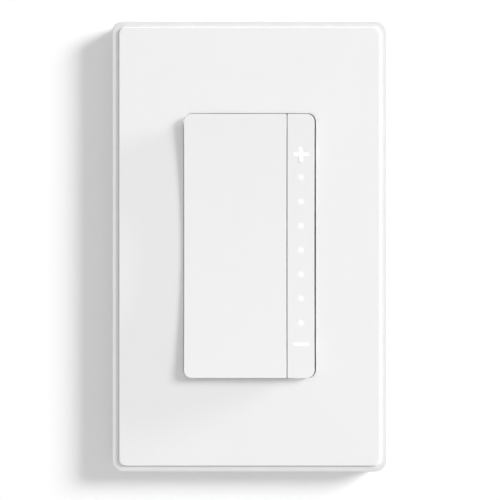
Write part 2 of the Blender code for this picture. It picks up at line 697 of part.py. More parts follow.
def make_paddle_return_spring(look):
    """Torsion spring round the pin, with one leg along the paddle and one along the control board."""
    steps = round(SPRING_TURNS * SPRING_STEPS_PER_TURN)
    points = [(SPRING_FIRST_X, -SPRING_COIL_RADIUS, -SPRING_LEG_LENGTH)]
    for step in range(steps + 1):
        angle = math.pi - 2 * math.pi * step / SPRING_STEPS_PER_TURN
        x = SPRING_FIRST_X + (SPRING_LAST_X - SPRING_FIRST_X) * step / steps
        points.append((x, SPRING_COIL_RADIUS * math.cos(angle), SPRING_COIL_RADIUS * math.sin(angle)))
    points.append((SPRING_LAST_X, SPRING_COIL_RADIUS, -SPRING_LEG_LENGTH))
    curve = bpy.data.curves.new("paddle_return_spring", "CURVE")
    curve.dimensions = "3D"
    curve.bevel_depth = SPRING_WIRE_RADIUS
    curve.bevel_resolution = 1
    curve.use_fill_caps = True
    spline = curve.splines.new("POLY")
    spline.points.add(len(points) - 1)
    for spline_point, point in zip(spline.points, points):
        spline_point.co = (*point, 1.0)
    curve.materials.append(look)
    spring = bpy.data.objects.new("paddle_return_spring", curve)
    spring.location = (0.0, HINGE_Y, PADDLE_HINGE_Z)
    bpy.context.scene.collection.objects.link(spring)


def make_front_frame(look):
    """Flange, tub, partition, hinge lugs, snap hooks and the header's slot."""
    flange = rounded_rectangle(FRAME_WIDTH, FRAME_HEIGHT, FRAME_CORNER)
    frame = add("front_frame", prism(flange, FRAME_FRONT_Y, FRAME_FLANGE_BACK_Y), look)
    tub = rounded_rectangle(TUB_WIDTH, TUB_HEIGHT, FRAME_CORNER)
    join(frame, prism(tub, FRAME_STEP_Y, TUB_BACK_Y))
    upper_room = rounded_rectangle(
        FRAME_WIDTH - 2 * FRAME_WALL, FRAME_HEIGHT - 2 * FRAME_WALL, FRAME_CORNER - FRAME_WALL
    )
    cut(frame, prism(upper_room, FRAME_FRONT_Y - REACH, FRAME_STEP_Y))
    lower_room = rounded_rectangle(
        TUB_WIDTH - 2 * TUB_WALL, TUB_HEIGHT - 2 * TUB_WALL, FRAME_CORNER - TUB_WALL
    )
    cut(frame, prism(lower_room, FRAME_STEP_Y - REACH, TUB_FLOOR_Y))
    upper_z = FRAME_HEIGHT / 2 - FRAME_WALL / 2
    lower_z = TUB_HEIGHT / 2 - TUB_WALL / 2
    step_y = FRAME_STEP_Y + REACH
    side_view = ((upper_z, FRAME_FRONT_Y), (upper_z, step_y), (lower_z, step_y), (lower_z, PARTITION_BACK_Y))
    side_view += tuple((-z, y) for z, y in reversed(side_view))
    partition_points = [(PARTITION_LEFT_X, y, z) for z, y in side_view]
    join(frame, extruded(partition_points, (PARTITION_RIGHT_X - PARTITION_LEFT_X, 0.0, 0.0)))
    inner_wall_x = FRAME_WIDTH / 2 - FRAME_WALL
    lugs = (
        (-FRAME_WIDTH / 2, -inner_wall_x, PADDLE_HINGE_Z, HINGE_HOLE_RADIUS),
        (PARTITION_LEFT_X, PARTITION_RIGHT_X, PADDLE_HINGE_Z, HINGE_HOLE_RADIUS),
        (PARTITION_LEFT_X, PARTITION_RIGHT_X, MARK_CENTRE_Z, BAR_STUB_HOLE_RADIUS),
        (inner_wall_x, FRAME_WIDTH / 2, MARK_CENTRE_Z, BAR_STUB_HOLE_RADIUS),
    )
    for left_x, right_x, z, hole_radius in lugs:
        low = (left_x + LUG_INSET, LUG_FRONT_Y, z - LUG_HALF_HEIGHT)
        join(frame, box(low, (right_x - LUG_INSET, FRAME_STEP_Y + REACH, z + LUG_HALF_HEIGHT)))
        cut(frame, rod((left_x - REACH, HINGE_Y, z), (right_x + REACH, HINGE_Y, z), hole_radius))
    for side in (-1, 1):
        zs = sorted((side * lower_z, side * (TUB_HEIGHT / 2 + HOOK_PROUD)))
        join(frame, box((-HOOK_HALF_WIDTH, 0.0, zs[0]), (HOOK_HALF_WIDTH, HOOK_BACK_Y, zs[1])))
    cut(frame, header_box(GAP, TUB_FLOOR_Y - REACH, TUB_BACK_Y + REACH))


def header_box(extra, front_y, back_y):
    """Box of the link header's outline, grown by extra."""
    half_width = HEADER_WIDTH / 2 + extra
    half_height = HEADER_HEIGHT / 2 + extra
    low = (HEADER_CENTRE[0] - half_width, front_y, HEADER_CENTRE[1] - half_height)
    return box(low, (HEADER_CENTRE[0] + half_width, back_y, HEADER_CENTRE[1] + half_height))


def make_control_board(look):
    """Control board on the tub's floor."""
    outline = rounded_rectangle(CONTROL_BOARD_WIDTH, CONTROL_BOARD_HEIGHT, CONTROL_BOARD_CORNER)
    board = add("control_board", prism(outline, CONTROL_BOARD_FRONT_Y, CONTROL_BOARD_BACK_Y), look)
    set_origin(board, (0.0, CONTROL_BOARD_FRONT_Y, 0.0))


def make_switches(body_look, plunger_look, plunger_pivots):
    """Three tact switches: a body on the board and a plunger that slides in its bore."""
    bar_size = (BAR_SWITCH_WIDTH, BAR_SWITCH_HEIGHT, BAR_PLUNGER_RADIUS)
    paddle_size = (PADDLE_SWITCH_SIZE, PADDLE_SWITCH_SIZE, PADDLE_PLUNGER_RADIUS)
    sizes = {"paddle": paddle_size, "plus": bar_size, "minus": bar_size}
    for name, pivot in plunger_pivots.items():
        width, height, radius = sizes[name]
        x, _, z = pivot.location
        outline = rounded_rectangle(width, height, SWITCH_CORNER, (x, z))
        body = add(name + "_switch_body", prism(outline, SWITCH_FRONT_Y, ON_BOARD_Y), body_look)
        bore_start = (x, SWITCH_FRONT_Y - REACH, z)
        cut(body, rod(bore_start, (x, SWITCH_BORE_END_Y, z), radius + GAP))
        set_origin(body, (x, ON_BOARD_Y, z))
        stem = rod((x, PLUNGER_FRONT_Y, z), (x, PLUNGER_BACK_Y, z), radius)
        attach(add(name + "_switch_plunger", stem, plunger_look), pivot)


def make_level_leds(look):
    """Seven LEDs on the control board, one behind each post of the light guide."""
    first = None
    for index, z in enumerate(dot_heights()):
        name = f"level_led_{index + 1}"
        location = (MARK_X, ON_BOARD_Y, z)
        if first is None:
            body = block((0.0, 0.0), (LED_WIDTH, LED_HEIGHT), (-LED_DEPTH, 0.0), 0.0)
            first = add(name, soften_front(body, -LED_DEPTH, LED_CHAMFER, 1), look)
            first.location = location
        else:
            copy_of(first, name, location)


def make_controller_module(look):
    """Controller under its shield can."""
    outline = rounded_rectangle(CHIP_WIDTH, CHIP_HEIGHT, CHIP_CORNER, CHIP_CENTRE)
    front_y = ON_BOARD_Y - CHIP_DEPTH
    can = soften_front(prism(outline, front_y, ON_BOARD_Y), front_y, CHIP_CHAMFER, 1)
    module = add("controller_module", can, look)
    set_origin(module, (CHIP_CENTRE[0], ON_BOARD_Y, CHIP_CENTRE[1]))


def make_board_link_header(look):
    """Pin header from the control board to the power board."""
    front_y = CONTROL_BOARD_BACK_Y + GAP
    header = add("board_link_header", header_box(0.0, front_y, POWER_BOARD_FRONT_Y - GAP), look)
    set_origin(header, (HEADER_CENTRE[0], front_y, HEADER_CENTRE[1]))


def make_mounting_yoke(look):
    """Steel strap with its window, box-screw slots, screw holes, four ear pads and a bent ground tab."""
    outline = rounded_rectangle(YOKE_WIDTH, YOKE_HEIGHT, YOKE_CORNER)
    yoke = add("mounting_yoke", prism(outline, YOKE_FRONT_Y, YOKE_BACK_Y), look)
    for side_x in (-1, 1):
        for side_z in (-1, 1):
            x = side_x * (YOKE_WIDTH - EAR_PAD_SIZE) / 2
            z = side_z * (YOKE_HEIGHT - EAR_PAD_SIZE) / 2
            pad = rounded_rectangle(EAR_PAD_SIZE - REACH, EAR_PAD_SIZE - REACH, EAR_PAD_CORNER, (x, z))
            join(yoke, prism(pad, YOKE_BACK_Y - REACH, 0.0))
    low = (GROUND_TAB_LEFT_X, YOKE_FRONT_Y + REACH, GROUND_TAB_TOP_Z - GROUND_TAB_THICKNESS)
    join(yoke, box(low, (GROUND_TAB_RIGHT_X, GROUND_TAB_BACK_Y, GROUND_TAB_TOP_Z)))
    ground_x = (GROUND_TAB_LEFT_X + GROUND_TAB_RIGHT_X) / 2
    hole_start = (ground_x, GROUND_SCREW_Y, GROUND_TAB_TOP_Z + REACH)
    hole_end = (ground_x, GROUND_SCREW_Y, GROUND_TAB_TOP_Z - GROUND_TAB_THICKNESS - REACH)
    cut(yoke, rod(hole_start, hole_end, PLATE_SCREW_HOLE_RADIUS))
    front_y = YOKE_FRONT_Y - REACH
    back_y = YOKE_BACK_Y + REACH
    window = rounded_rectangle(YOKE_WINDOW_WIDTH, YOKE_WINDOW_HEIGHT, FRAME_CORNER)
    cut(yoke, prism(window, front_y, back_y))
    for side in (-1, 1):
        slot_centre = (0.0, side * BOX_SCREW_Z)
        slot = rounded_rectangle(BOX_SLOT_WIDTH, BOX_SLOT_HEIGHT, BOX_SLOT_CORNER, slot_centre)
        cut(yoke, prism(slot, front_y, back_y))
        plate_hole_z = side * PLATE_SCREW_Z
        cut(yoke, rod((0.0, front_y, plate_hole_z), (0.0, back_y, plate_hole_z), PLATE_SCREW_HOLE_RADIUS))
        for side_x in (-1, 1):
            x = side_x * HOUSING_SCREW_X
            z = side * HOUSING_SCREW_Z
            cut(yoke, rod((x, front_y, z), (x, back_y, z), HOUSING_SCREW_HOLE_RADIUS))


def make_box_screws(screw_look, washer_look):
    """Two long screws into the wall box, each kept in its slot by a fibre washer behind the yoke."""
    screw_top = add_screw("box_screw_top", screw_look, *BOX_SCREW_SIZE)
    screw_top.location = (0.0, YOKE_FRONT_Y - GAP, BOX_SCREW_Z)
    copy_of(screw_top, "box_screw_bottom", (0.0, YOKE_FRONT_Y - GAP, -BOX_SCREW_Z))
    washer_y = YOKE_BACK_Y + GAP
    outline = rounded_rectangle(WASHER_SIZE, WASHER_SIZE, WASHER_CORNER)
    washer_top = add("box_screw_washer_top", prism(outline, 0.0, WASHER_THICKNESS), washer_look)
    cut(washer_top, rod((0.0, -REACH, 0.0), (0.0, WASHER_THICKNESS + REACH, 0.0), WASHER_HOLE_RADIUS))
    washer_top.location = (0.0, washer_y, BOX_SCREW_Z)
    copy_of(washer_top, "box_screw_washer_bottom", (0.0, washer_y, -BOX_SCREW_Z))


def make_ground_screw(look):
    """Ground screw in the yoke's bent tab, its head below the tab."""
    screw = add_screw("ground_screw", look, *GROUND_SCREW_SIZE)
    ground_x = (GROUND_TAB_LEFT_X + GROUND_TAB_RIGHT_X) / 2
    screw.rotation_euler = (math.pi / 2, 0.0, 0.0)
    screw.location = (ground_x, GROUND_SCREW_Y, GROUND_TAB_TOP_Z - GROUND_TAB_THICKNESS - GAP)


def make_rear_housing(look):
    """Stepped shell, open at the yoke, with four screw bosses, terminal windows and barriers between them."""
    front = rounded_rectangle(HOUSING_WIDTH, HOUSING_HEIGHT, HOUSING_CORNER)
    front_y = YOKE_BACK_Y + GAP
    housing = add("rear_housing", prism(front, front_y, HOUSING_STEP_Y), look)
    rear = rounded_rectangle(HOUSING_REAR_WIDTH, HOUSING_REAR_HEIGHT, HOUSING_CORNER)
    join(housing, prism(rear, HOUSING_STEP_Y - REACH, HOUSING_BACK_Y))
    rear_wall_x = HOUSING_REAR_WIDTH / 2 - HOUSING_WALL / 2
    for z in BARRIER_ZS:
        for side in (-1, 1):
            span = (rear_wall_x, BARRIER_OUTER_X, BARRIER_FRONT_Y, HOUSING_BACK_Y - HOUSING_WALL)
            join(housing, side_box(side, *span, z, BARRIER_THICKNESS / 2))
    twice_wall = 2 * HOUSING_WALL
    room_corner = HOUSING_CORNER - HOUSING_WALL
    room = rounded_rectangle(HOUSING_WIDTH - twice_wall, HOUSING_HEIGHT - twice_wall, room_corner)
    cut(housing, prism(room, front_y - REACH, HOUSING_STEP_Y - HOUSING_WALL))
    rear_room = rounded_rectangle(
        HOUSING_REAR_WIDTH - twice_wall, HOUSING_REAR_HEIGHT - twice_wall, room_corner
    )
    cut(housing, prism(rear_room, HOUSING_STEP_Y - HOUSING_WALL - REACH, HOUSING_BACK_Y - HOUSING_WALL))
    for side_x in (-1, 1):
        for side_z in (-1, 1):
            x = side_x * HOUSING_SCREW_X
            z = side_z * HOUSING_SCREW_Z
            boss_end = (x, HOUSING_STEP_Y - REACH, z)
            join(housing, rod((x, front_y, z), boss_end, HOUSING_BOSS_RADIUS, ROUND_SIDES))
            hole_end = (x, HOUSING_STEP_Y + REACH, z)
            cut(housing, rod((x, front_y - REACH, z), hole_end, HOUSING_SCREW_HOLE_RADIUS))
            half = TERMINAL_WINDOW / 2
            inner_x = rear_wall_x - HOUSING_WALL
            outer_x = rear_wall_x + HOUSING_WALL
            window = side_box(
                side_x, inner_x, outer_x, TERMINAL_Y - half, TERMINAL_Y + half, side_z * TERMINAL_Z, half
            )
            cut(housing, window)


def make_housing_screws(look):
    """Four screws from behind through the housing's bosses into the yoke."""
    first = None
    head_underside_y = HOUSING_STEP_Y + GAP
    for index, (side_x, side_z) in enumerate(((-1, 1), (1, 1), (-1, -1), (1, -1))):
        name = f"housing_screw_{index + 1}"
        location = (side_x * HOUSING_SCREW_X, head_underside_y, side_z * HOUSING_SCREW_Z)
        facing_back = (math.pi, 0.0, 0.0)
        if first is None:
            first = add_screw(name, look, *HOUSING_SCREW_SIZE, SMALL_SIDES)
            first.location = location
            first.rotation_euler = facing_back
        else:
            copy_of(first, name, location, facing_back)


def make_heat_spreader(look):
    """Aluminium channel: a plate behind the tub with two flanges that reach forward to the yoke."""
    outline = rounded_rectangle(SPREADER_WIDTH, SPREADER_HEIGHT, SPREADER_CORNER)
    spreader = add("heat_spreader", prism(outline, SPREADER_FRONT_Y, SPREADER_BACK_Y), look)
    for side in (-1, 1):
        outer_x = SPREADER_FLANGE_X + SPREADER_FLANGE_THICKNESS
        span = (SPREADER_FLANGE_X, outer_x, YOKE_BACK_Y + GAP, SPREADER_FRONT_Y + REACH)
        join(spreader, side_box(side, *span, 0.0, SPREADER_FLANGE_HALF_HEIGHT))
    cut(spreader, header_box(2 * GAP, SPREADER_FRONT_Y - REACH, SPREADER_BACK_Y + REACH))
    hole_start = (TRIAC_X, SPREADER_FRONT_Y - REACH, TRIAC_SCREW_Z)
    cut(spreader, rod(hole_start, (TRIAC_X, SPREADER_BACK_Y + REACH, TRIAC_SCREW_Z), TRIAC_HOLE_RADIUS))


def make_triac(body_look, pad_look, screw_look):
    """Triac on its insulating pad, screwed to the heat spreader, with three leads to the power board."""
    pad_y = SPREADER_BACK_Y + GAP
    triac_y = pad_y + TRIAC_PAD_THICKNESS + GAP
    half_width = TRIAC_WIDTH / 2
    middle_z = (TRIAC_BODY_LOW_Z + TRIAC_TAB_TOP_Z) / 2
    pad_width = TRIAC_WIDTH + 2 * TRIAC_PAD_MARGIN
    pad_height = TRIAC_TAB_TOP_Z - TRIAC_BODY_LOW_Z + 2 * TRIAC_PAD_MARGIN
    pad_outline = rounded_rectangle(pad_width, pad_height, TRIAC_PAD_CORNER, (TRIAC_X, middle_z))
    pad = add("triac_insulating_pad", prism(pad_outline, pad_y, pad_y + TRIAC_PAD_THICKNESS), pad_look)
    triac = add(
        "triac",
        box(
            (TRIAC_X - half_width, triac_y, TRIAC_BODY_LOW_Z),
            (TRIAC_X + half_width, triac_y + TRIAC_BODY_DEPTH, TRIAC_BODY_HIGH_Z),
        ),
        body_look,
    )
    tab_low = (TRIAC_X - half_width, triac_y, TRIAC_BODY_HIGH_Z - REACH)
    join(triac, box(tab_low, (TRIAC_X + half_width, triac_y + TRIAC_TAB_THICKNESS, TRIAC_TAB_TOP_Z)))
    for target in (pad, triac):
        hole_start = (TRIAC_X, pad_y - REACH, TRIAC_SCREW_Z)
        hole_end = (TRIAC_X, triac_y + TRIAC_TAB_THICKNESS + REACH, TRIAC_SCREW_Z)
        cut(target, rod(hole_start, hole_end, TRIAC_HOLE_RADIUS))
    lead_front_y = triac_y + TRIAC_BODY_DEPTH / 2
    lead_low_z = TRIAC_BODY_LOW_Z - TRIAC_LEAD_DROP
    for index in (-1, 0, 1):
        left_x = TRIAC_X + index * TRIAC_LEAD_SPACING - TRIAC_LEAD_WIDTH / 2
        right_x = left_x + TRIAC_LEAD_WIDTH
        bend_y = lead_front_y + TRIAC_LEAD_WIDTH
        join(triac, box((left_x, lead_front_y, lead_low_z), (right_x, bend_y, TRIAC_BODY_LOW_Z + REACH)))
        leg_high_z = lead_low_z + TRIAC_LEAD_WIDTH
        join(triac, box((left_x, lead_front_y, lead_low_z), (right_x, POWER_BOARD_FRONT_Y - GAP, leg_high_z)))
    head_y = triac_y + TRIAC_TAB_THICKNESS + GAP
    length = head_y - TUB_BACK_Y - GAP
    size = (TRIAC_SCREW_HEAD_RADIUS, TRIAC_SCREW_HEAD_DEPTH, TRIAC_SCREW_SHANK_RADIUS, length)
    screw = add_screw("triac_screw", screw_look, *size, SMALL_SIDES)
    screw.location = (TRIAC_X, head_y, TRIAC_SCREW_Z)
    screw.rotation_euler = (math.pi, 0.0, 0.0)


def make_power_board(look):
    """Power board across the rear section."""
    outline = rounded_rectangle(POWER_BOARD_WIDTH, POWER_BOARD_HEIGHT, POWER_BOARD_CORNER)
    board = add("power_board", prism(outline, POWER_BOARD_FRONT_Y, POWER_BOARD_BACK_Y), look)
    set_origin(board, (0.0, POWER_BOARD_FRONT_Y, 0.0))


def make_transformer(look):
    """Power supply transformer: a ferrite core round a taped winding, on its base."""
    core = block(TRANSFORMER_CENTRE, TRANSFORMER_CORE, TRANSFORMER_CORE_DEPTHS, BEHIND_BOARD_Y)
    transformer = add("supply_transformer", core, look)
    others = (
        (TRANSFORMER_WINDING, TRANSFORMER_WINDING_DEPTHS),
        (TRANSFORMER_BASE, TRANSFORMER_BASE_DEPTHS),
    )
    for size, depths in others:
        join(transformer, block(TRANSFORMER_CENTRE, size, depths, BEHIND_BOARD_Y))


def make_filter_choke(look):
    """Ring core choke lying on the power board."""
    outer_radius = CHOKE_RING_RADIUS + CHOKE_SECTION_HALF_WIDTH
    inner_radius = CHOKE_RING_RADIUS - CHOKE_SECTION_HALF_WIDTH
    profile = (
        (0.0, outer_radius - CHOKE_ROUNDING),
        (CHOKE_ROUNDING, outer_radius),
        (CHOKE_DEPTH - CHOKE_ROUNDING, outer_radius),
        (CHOKE_DEPTH, outer_radius - CHOKE_ROUNDING),
    )
    choke = add("filter_choke", turned(profile, ROUND_SIDES), look)
    cut(choke, rod((0.0, -REACH, 0.0), (0.0, CHOKE_DEPTH + REACH, 0.0), inner_radius))
    choke.location = (CHOKE_CENTRE[0], BEHIND_BOARD_Y, CHOKE_CENTRE[1])


def make_film_capacitor(look):
    """Box film capacitor."""
    outline = rounded_rectangle(
        FILM_CAPACITOR_WIDTH, FILM_CAPACITOR_HEIGHT, FILM_CAPACITOR_CORNER, FILM_CAPACITOR_CENTRE
    )
    add("film_capacitor", prism(outline, BEHIND_BOARD_Y, BEHIND_BOARD_Y + FILM_CAPACITOR_DEPTH), look)


def make_electrolytic_capacitor(look):
    """Upright electrolytic capacitor with its rolled groove."""
    slope_end = CAN_GROOVE_START + CAN_GROOVE_SLOPE
    groove_end = CAN_GROOVE_START + CAN_GROOVE_WIDTH
    profile = (
        (0.0, CAN_RADIUS),
        (CAN_GROOVE_START, CAN_RADIUS),
        (slope_end, CAN_GROOVE_RADIUS),
        (groove_end - CAN_GROOVE_SLOPE, CAN_GROOVE_RADIUS),
        (groove_end, CAN_RADIUS),
        (CAN_DEPTH - CAN_TOP_ROUNDING, CAN_RADIUS),
        (CAN_DEPTH, CAN_RADIUS - CAN_TOP_ROUNDING),
    )
    capacitor = add("electrolytic_capacitor", turned(profile, ROUND_SIDES), look)
    capacitor.location = (CAN_CENTRE[0], BEHIND_BOARD_Y, CAN_CENTRE[1])


def make_varistor(look):
    """Disc varistor standing on its two leads."""
    x, z = VARISTOR_CENTRE
    y = BEHIND_BOARD_Y + VARISTOR_RADIUS + VARISTOR_STAND_OFF
    low = (x, y, z - VARISTOR_HALF_THICKNESS)
    disc = rod(low, (x, y, z + VARISTOR_HALF_THICKNESS), VARISTOR_RADIUS, ROUND_SIDES)
    varistor = add("varistor", disc, look)
    for shift in (-VARISTOR_LEAD_SHIFT, VARISTOR_LEAD_SHIFT):
        join(varistor, rod((x + shift, BEHIND_BOARD_Y, z), (x + shift, y, z), VARISTOR_LEAD_RADIUS, 8))


def make_fuse(look):
    """Radial fuse."""
    x, z = FUSE_CENTRE
    body = rod((x, BEHIND_BOARD_Y, z), (x, BEHIND_BOARD_Y + FUSE_DEPTH, z), FUSE_RADIUS, ROUND_SIDES)
    add("fuse", body, look)


def make_terminals(plate_look, screw_look):
    """Four terminals: a brass plate in a housing window with a pin to the board, and its screw."""
    inner_x = HOUSING_REAR_WIDTH / 2 - HOUSING_WALL + GAP
    outer_x = inner_x + TERMINAL_PLATE_THICKNESS
    half = TERMINAL_WINDOW / 2 - GAP
    pin_x = inner_x - TERMINAL_PIN_REACH
    front_y = TERMINAL_Y - half
    bend_y = front_y + TERMINAL_PLATE_THICKNESS
    names = {(-1, 1): "line", (1, 1): "load", (-1, -1): "neutral", (1, -1): "traveller"}
    for (side_x, side_z), name in names.items():
        z = side_z * TERMINAL_Z
        plate_shape = side_box(side_x, inner_x, outer_x, front_y, TERMINAL_Y + half, z, half)
        plate = add(name + "_terminal_plate", plate_shape, plate_look)
        bend = side_box(side_x, pin_x, inner_x + REACH, front_y, bend_y, z, TERMINAL_PIN_HALF_HEIGHT)
        join(plate, bend)
        pin_outer_x = pin_x + TERMINAL_PLATE_THICKNESS
        join(plate, side_box(side_x, pin_x, pin_outer_x, BEHIND_BOARD_Y, bend_y, z, TERMINAL_PIN_HALF_HEIGHT))
        hole_start = (side_x * (inner_x - REACH), TERMINAL_Y, z)
        cut(plate, rod(hole_start, (side_x * (outer_x + REACH), TERMINAL_Y, z), TERMINAL_HOLE_RADIUS))
        screw = add_screw(name + "_terminal_screw", screw_look, *TERMINAL_SCREW_SIZE)
        screw.location = (side_x * (outer_x + GAP), TERMINAL_Y, z)
        screw.rotation_euler = (0.0, 0.0, side_x * math.pi / 2)


def main():
    """Builds every piece."""
    clear_scene()
    white_plastic = material("plate_white", (0.86, 0.86, 0.86), 0.35)
    insert_plastic = material("insert_white", (0.87, 0.87, 0.87), 0.32)
    guide_plastic = material("light_guide_milky", (0.95, 0.95, 0.95), 0.25)
    frame_plastic = material("frame_white", (0.8, 0.8, 0.8), 0.45)
    housing_plastic = material("housing_grey", (0.12, 0.12, 0.13), 0.55)
    black_plastic = material("component_black", (0.02, 0.02, 0.02), 0.5)
    zinc_steel = material("zinc_steel", (0.72, 0.73, 0.74), 0.35, 1.0)
    aluminium = material("aluminium", (0.78, 0.79, 0.8), 0.4, 1.0)
    brass = material("brass", (0.78, 0.6, 0.27), 0.35, 1.0)
    green_steel = material("ground_green", (0.05, 0.35, 0.1), 0.4, 0.6)
    board_green = material("board_green", (0.02, 0.18, 0.07), 0.45)
    fibre = material("fibre_red", (0.45, 0.1, 0.06), 0.7)
    pad_grey = material("pad_grey", (0.55, 0.57, 0.6), 0.7)
    ferrite = material("ferrite_tape", (0.65, 0.55, 0.12), 0.5)
    copper = material("enamelled_copper", (0.72, 0.32, 0.12), 0.35, 0.8)
    film_yellow = material("film_yellow", (0.75, 0.6, 0.15), 0.45)
    sleeve_blue = material("sleeve_blue", (0.03, 0.06, 0.2), 0.4)
    varistor_blue = material("varistor_blue", (0.04, 0.12, 0.4), 0.4)
    led_yellow = material("led_yellow", (0.9, 0.85, 0.5), 0.3)

    paddle_pivot = add_pivot("paddle_hinge", (0.0, HINGE_Y, PADDLE_HINGE_Z))
    bar_pivot = add_pivot("bar_hinge", (0.0, HINGE_Y, MARK_CENTRE_Z))
    paddle_switch_z = PADDLE_HINGE_Z - PADDLE_SWITCH_ARM
    plus_switch_z = MARK_CENTRE_Z + BAR_SWITCH_ARM
    minus_switch_z = MARK_CENTRE_Z - BAR_SWITCH_ARM
    plunger_pivots = {
        "paddle": add_pivot("paddle_plunger_slide", (PADDLE_SWITCH_X, PLUNGER_FRONT_Y, paddle_switch_z)),
        "plus": add_pivot("plus_plunger_slide", (BAR_SWITCH_X, PLUNGER_FRONT_Y, plus_switch_z)),
        "minus": add_pivot("minus_plunger_slide", (BAR_SWITCH_X, PLUNGER_FRONT_Y, minus_switch_z)),
    }
    make_wall_plate_cover(white_plastic)
    make_wall_plate_frame(white_plastic)
    make_plate_screws(zinc_steel)
    make_on_off_paddle(insert_plastic, paddle_pivot)
    make_dimmer_bar(insert_plastic, bar_pivot)
    make_bar_light_guide(guide_plastic, bar_pivot)
    make_paddle_hinge_pin(zinc_steel)
    make_paddle_return_spring(zinc_steel)
    make_front_frame(frame_plastic)
    make_control_board(board_green)
    make_switches(black_plastic, frame_plastic, plunger_pivots)
    make_level_leds(led_yellow)
    make_controller_module(zinc_steel)
    make_board_link_header(black_plastic)
    make_mounting_yoke(zinc_steel)
    make_box_screws(zinc_steel, fibre)
    make_ground_screw(green_steel)
    make_rear_housing(housing_plastic)
    make_housing_screws(zinc_steel)
    make_heat_spreader(aluminium)
    make_triac(black_plastic, pad_grey, zinc_steel)
    make_power_board(board_green)
    make_transformer(ferrite)
    make_filter_choke(copper)
    make_film_capacitor(film_yellow)
    make_electrolytic_capacitor(sleeve_blue)
    make_varistor(varistor_blue)
    make_fuse(black_plastic)
    make_terminals(brass, brass)


main()
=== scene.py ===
"""Looks for the wall dimmer: fine mouldings, procedural materials, a wall behind it and studio light."""

import math

import bmesh
import bpy
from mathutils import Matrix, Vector


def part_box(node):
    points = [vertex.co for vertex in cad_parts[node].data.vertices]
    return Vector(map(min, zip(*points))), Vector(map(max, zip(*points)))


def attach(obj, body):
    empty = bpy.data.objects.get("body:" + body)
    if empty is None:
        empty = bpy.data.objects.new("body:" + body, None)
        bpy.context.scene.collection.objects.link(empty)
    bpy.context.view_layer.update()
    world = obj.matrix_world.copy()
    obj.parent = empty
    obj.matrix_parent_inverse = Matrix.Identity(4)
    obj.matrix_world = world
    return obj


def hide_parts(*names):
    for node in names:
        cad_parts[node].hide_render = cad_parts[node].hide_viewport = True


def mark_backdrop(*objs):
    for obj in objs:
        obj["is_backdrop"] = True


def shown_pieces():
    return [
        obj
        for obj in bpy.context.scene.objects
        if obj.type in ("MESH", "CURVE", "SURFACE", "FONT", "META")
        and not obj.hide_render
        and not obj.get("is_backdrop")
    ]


# All lengths are in metres. The camera frames 127 mm at the plate's widest contour, from 0.4 m in
# front of it, with a sensor width in millimetres.
FRAMED_WIDTH = 0.127
CAMERA_DISTANCE = 0.4
CAMERA_NEAREST = 0.01
SENSOR = 36.0
CAMERA_RIGHT = 0.00013
CAMERA_DOWN = 0.00089

# Two key lights from the upper right, for the device and for the wall, a light that grazes the cover,
# a light for the back, a sun for the floor, and a fill all round that is brighter on one side.
KEY_DIRECTION = (1.72, -1.0, 0.76)
KEY_WATTS = 113.0
WALL_WATTS = 164.0
KEY_SIZE = (1.5, 1.5)
GRAZE_DIRECTION = (1.0, -0.037, 0.39)
GRAZE_WATTS = 395.0
GRAZE_SIZE = (0.26, 1.3)
REAR_DIRECTION = (-0.5, 1.0, 0.9)
REAR_WATTS = 120.0
REAR_SIZE = (2.4, 2.4)
FLOOR_SUN = 0.6
LIGHT_DISTANCE = 4.0
FILL = 0.55
FILL_SLOPE = 0.15
FILL_BRIGHTER_SIDE = (-0.35, -0.3, 0.88)
BACKGROUND = 0.9

# Stage: a wall round the device and a floor.
WALL_HALF = 0.6
WALL_GAP = 0.0001
WALL_HOLE = (0.0686, 0.1131)
FLOOR_Z = -0.6
FLOOR_HALF = 14.0

# Wall plate: its frame has a rim with a lip under the cover's edge, and a web that the screws hold.
# Flat bands along the cover's edge and along its opening keep the shading of the face even.
PLATE_CORNER = 0.0028
RIM_WALL = 0.0012
RIM_ROUNDING = 0.0004
RIM_BACK_EDGE = 0.00015
LIP_THICKNESS = 0.0005
LIP_SLOPE = 0.0002
SEAM_OVERLAP = 0.00008
SEAM_GAP = 0.00002
SEAM_CLEARANCE = 0.00003
SEAM_GROOVE = (0.0002, 0.00015)
WEB_FRONT_Y = -0.0033
WEB_BACK_Y = -0.0019
WEB_OPENING = (0.0343, 0.0678, 0.0026)
COVER_HALF_WIDTH = 0.0331
COVER_CORNER = 0.0016
COVER_SKIRT = 0.0012
COVER_UNDER_Y = -0.0057
COVER_OPENING = (0.03353, 0.06707, 0.0022)
OPENING_CENTRE = (0.000065, 0.000185)
OPENING_ROUNDING = 0.00005
OPENING_BAND = 0.001
COVER_EDGE = 0.00012
COVER_EDGE_BAND = 0.0008
COVER_DRAFT = 0.00008
PLATE_SCREW_Z = 0.0484
PLATE_SCREW_HOLE = 0.002
BOX_SCREW_Z = 0.041625
BOX_SCREW_HOLE = 0.0042
TOOL_OVERRUN = 0.001

# Insert: the concave skins of the paddle and the bar, and what the CAD has behind them.
INSERT_LEFT_X = -0.01657
INSERT_RIGHT_X = 0.01641
INSERT_BOTTOM_Z = -0.0332
INSERT_TOP_Z = 0.03344
DIVIDER_LEFT_X = 0.00936
DIVIDER_RIGHT_X = 0.00955
INSERT_CORNER = 0.002
DIVIDER_CORNER = 0.0003
INSERT_RISE = 0.00135
INSERT_SKIN = 0.0013
INSERT_EDGE = 0.00014
INSERT_STRIPS = 56
BACK_MARGIN = 0.0003
BACK_END_Y = 0.02

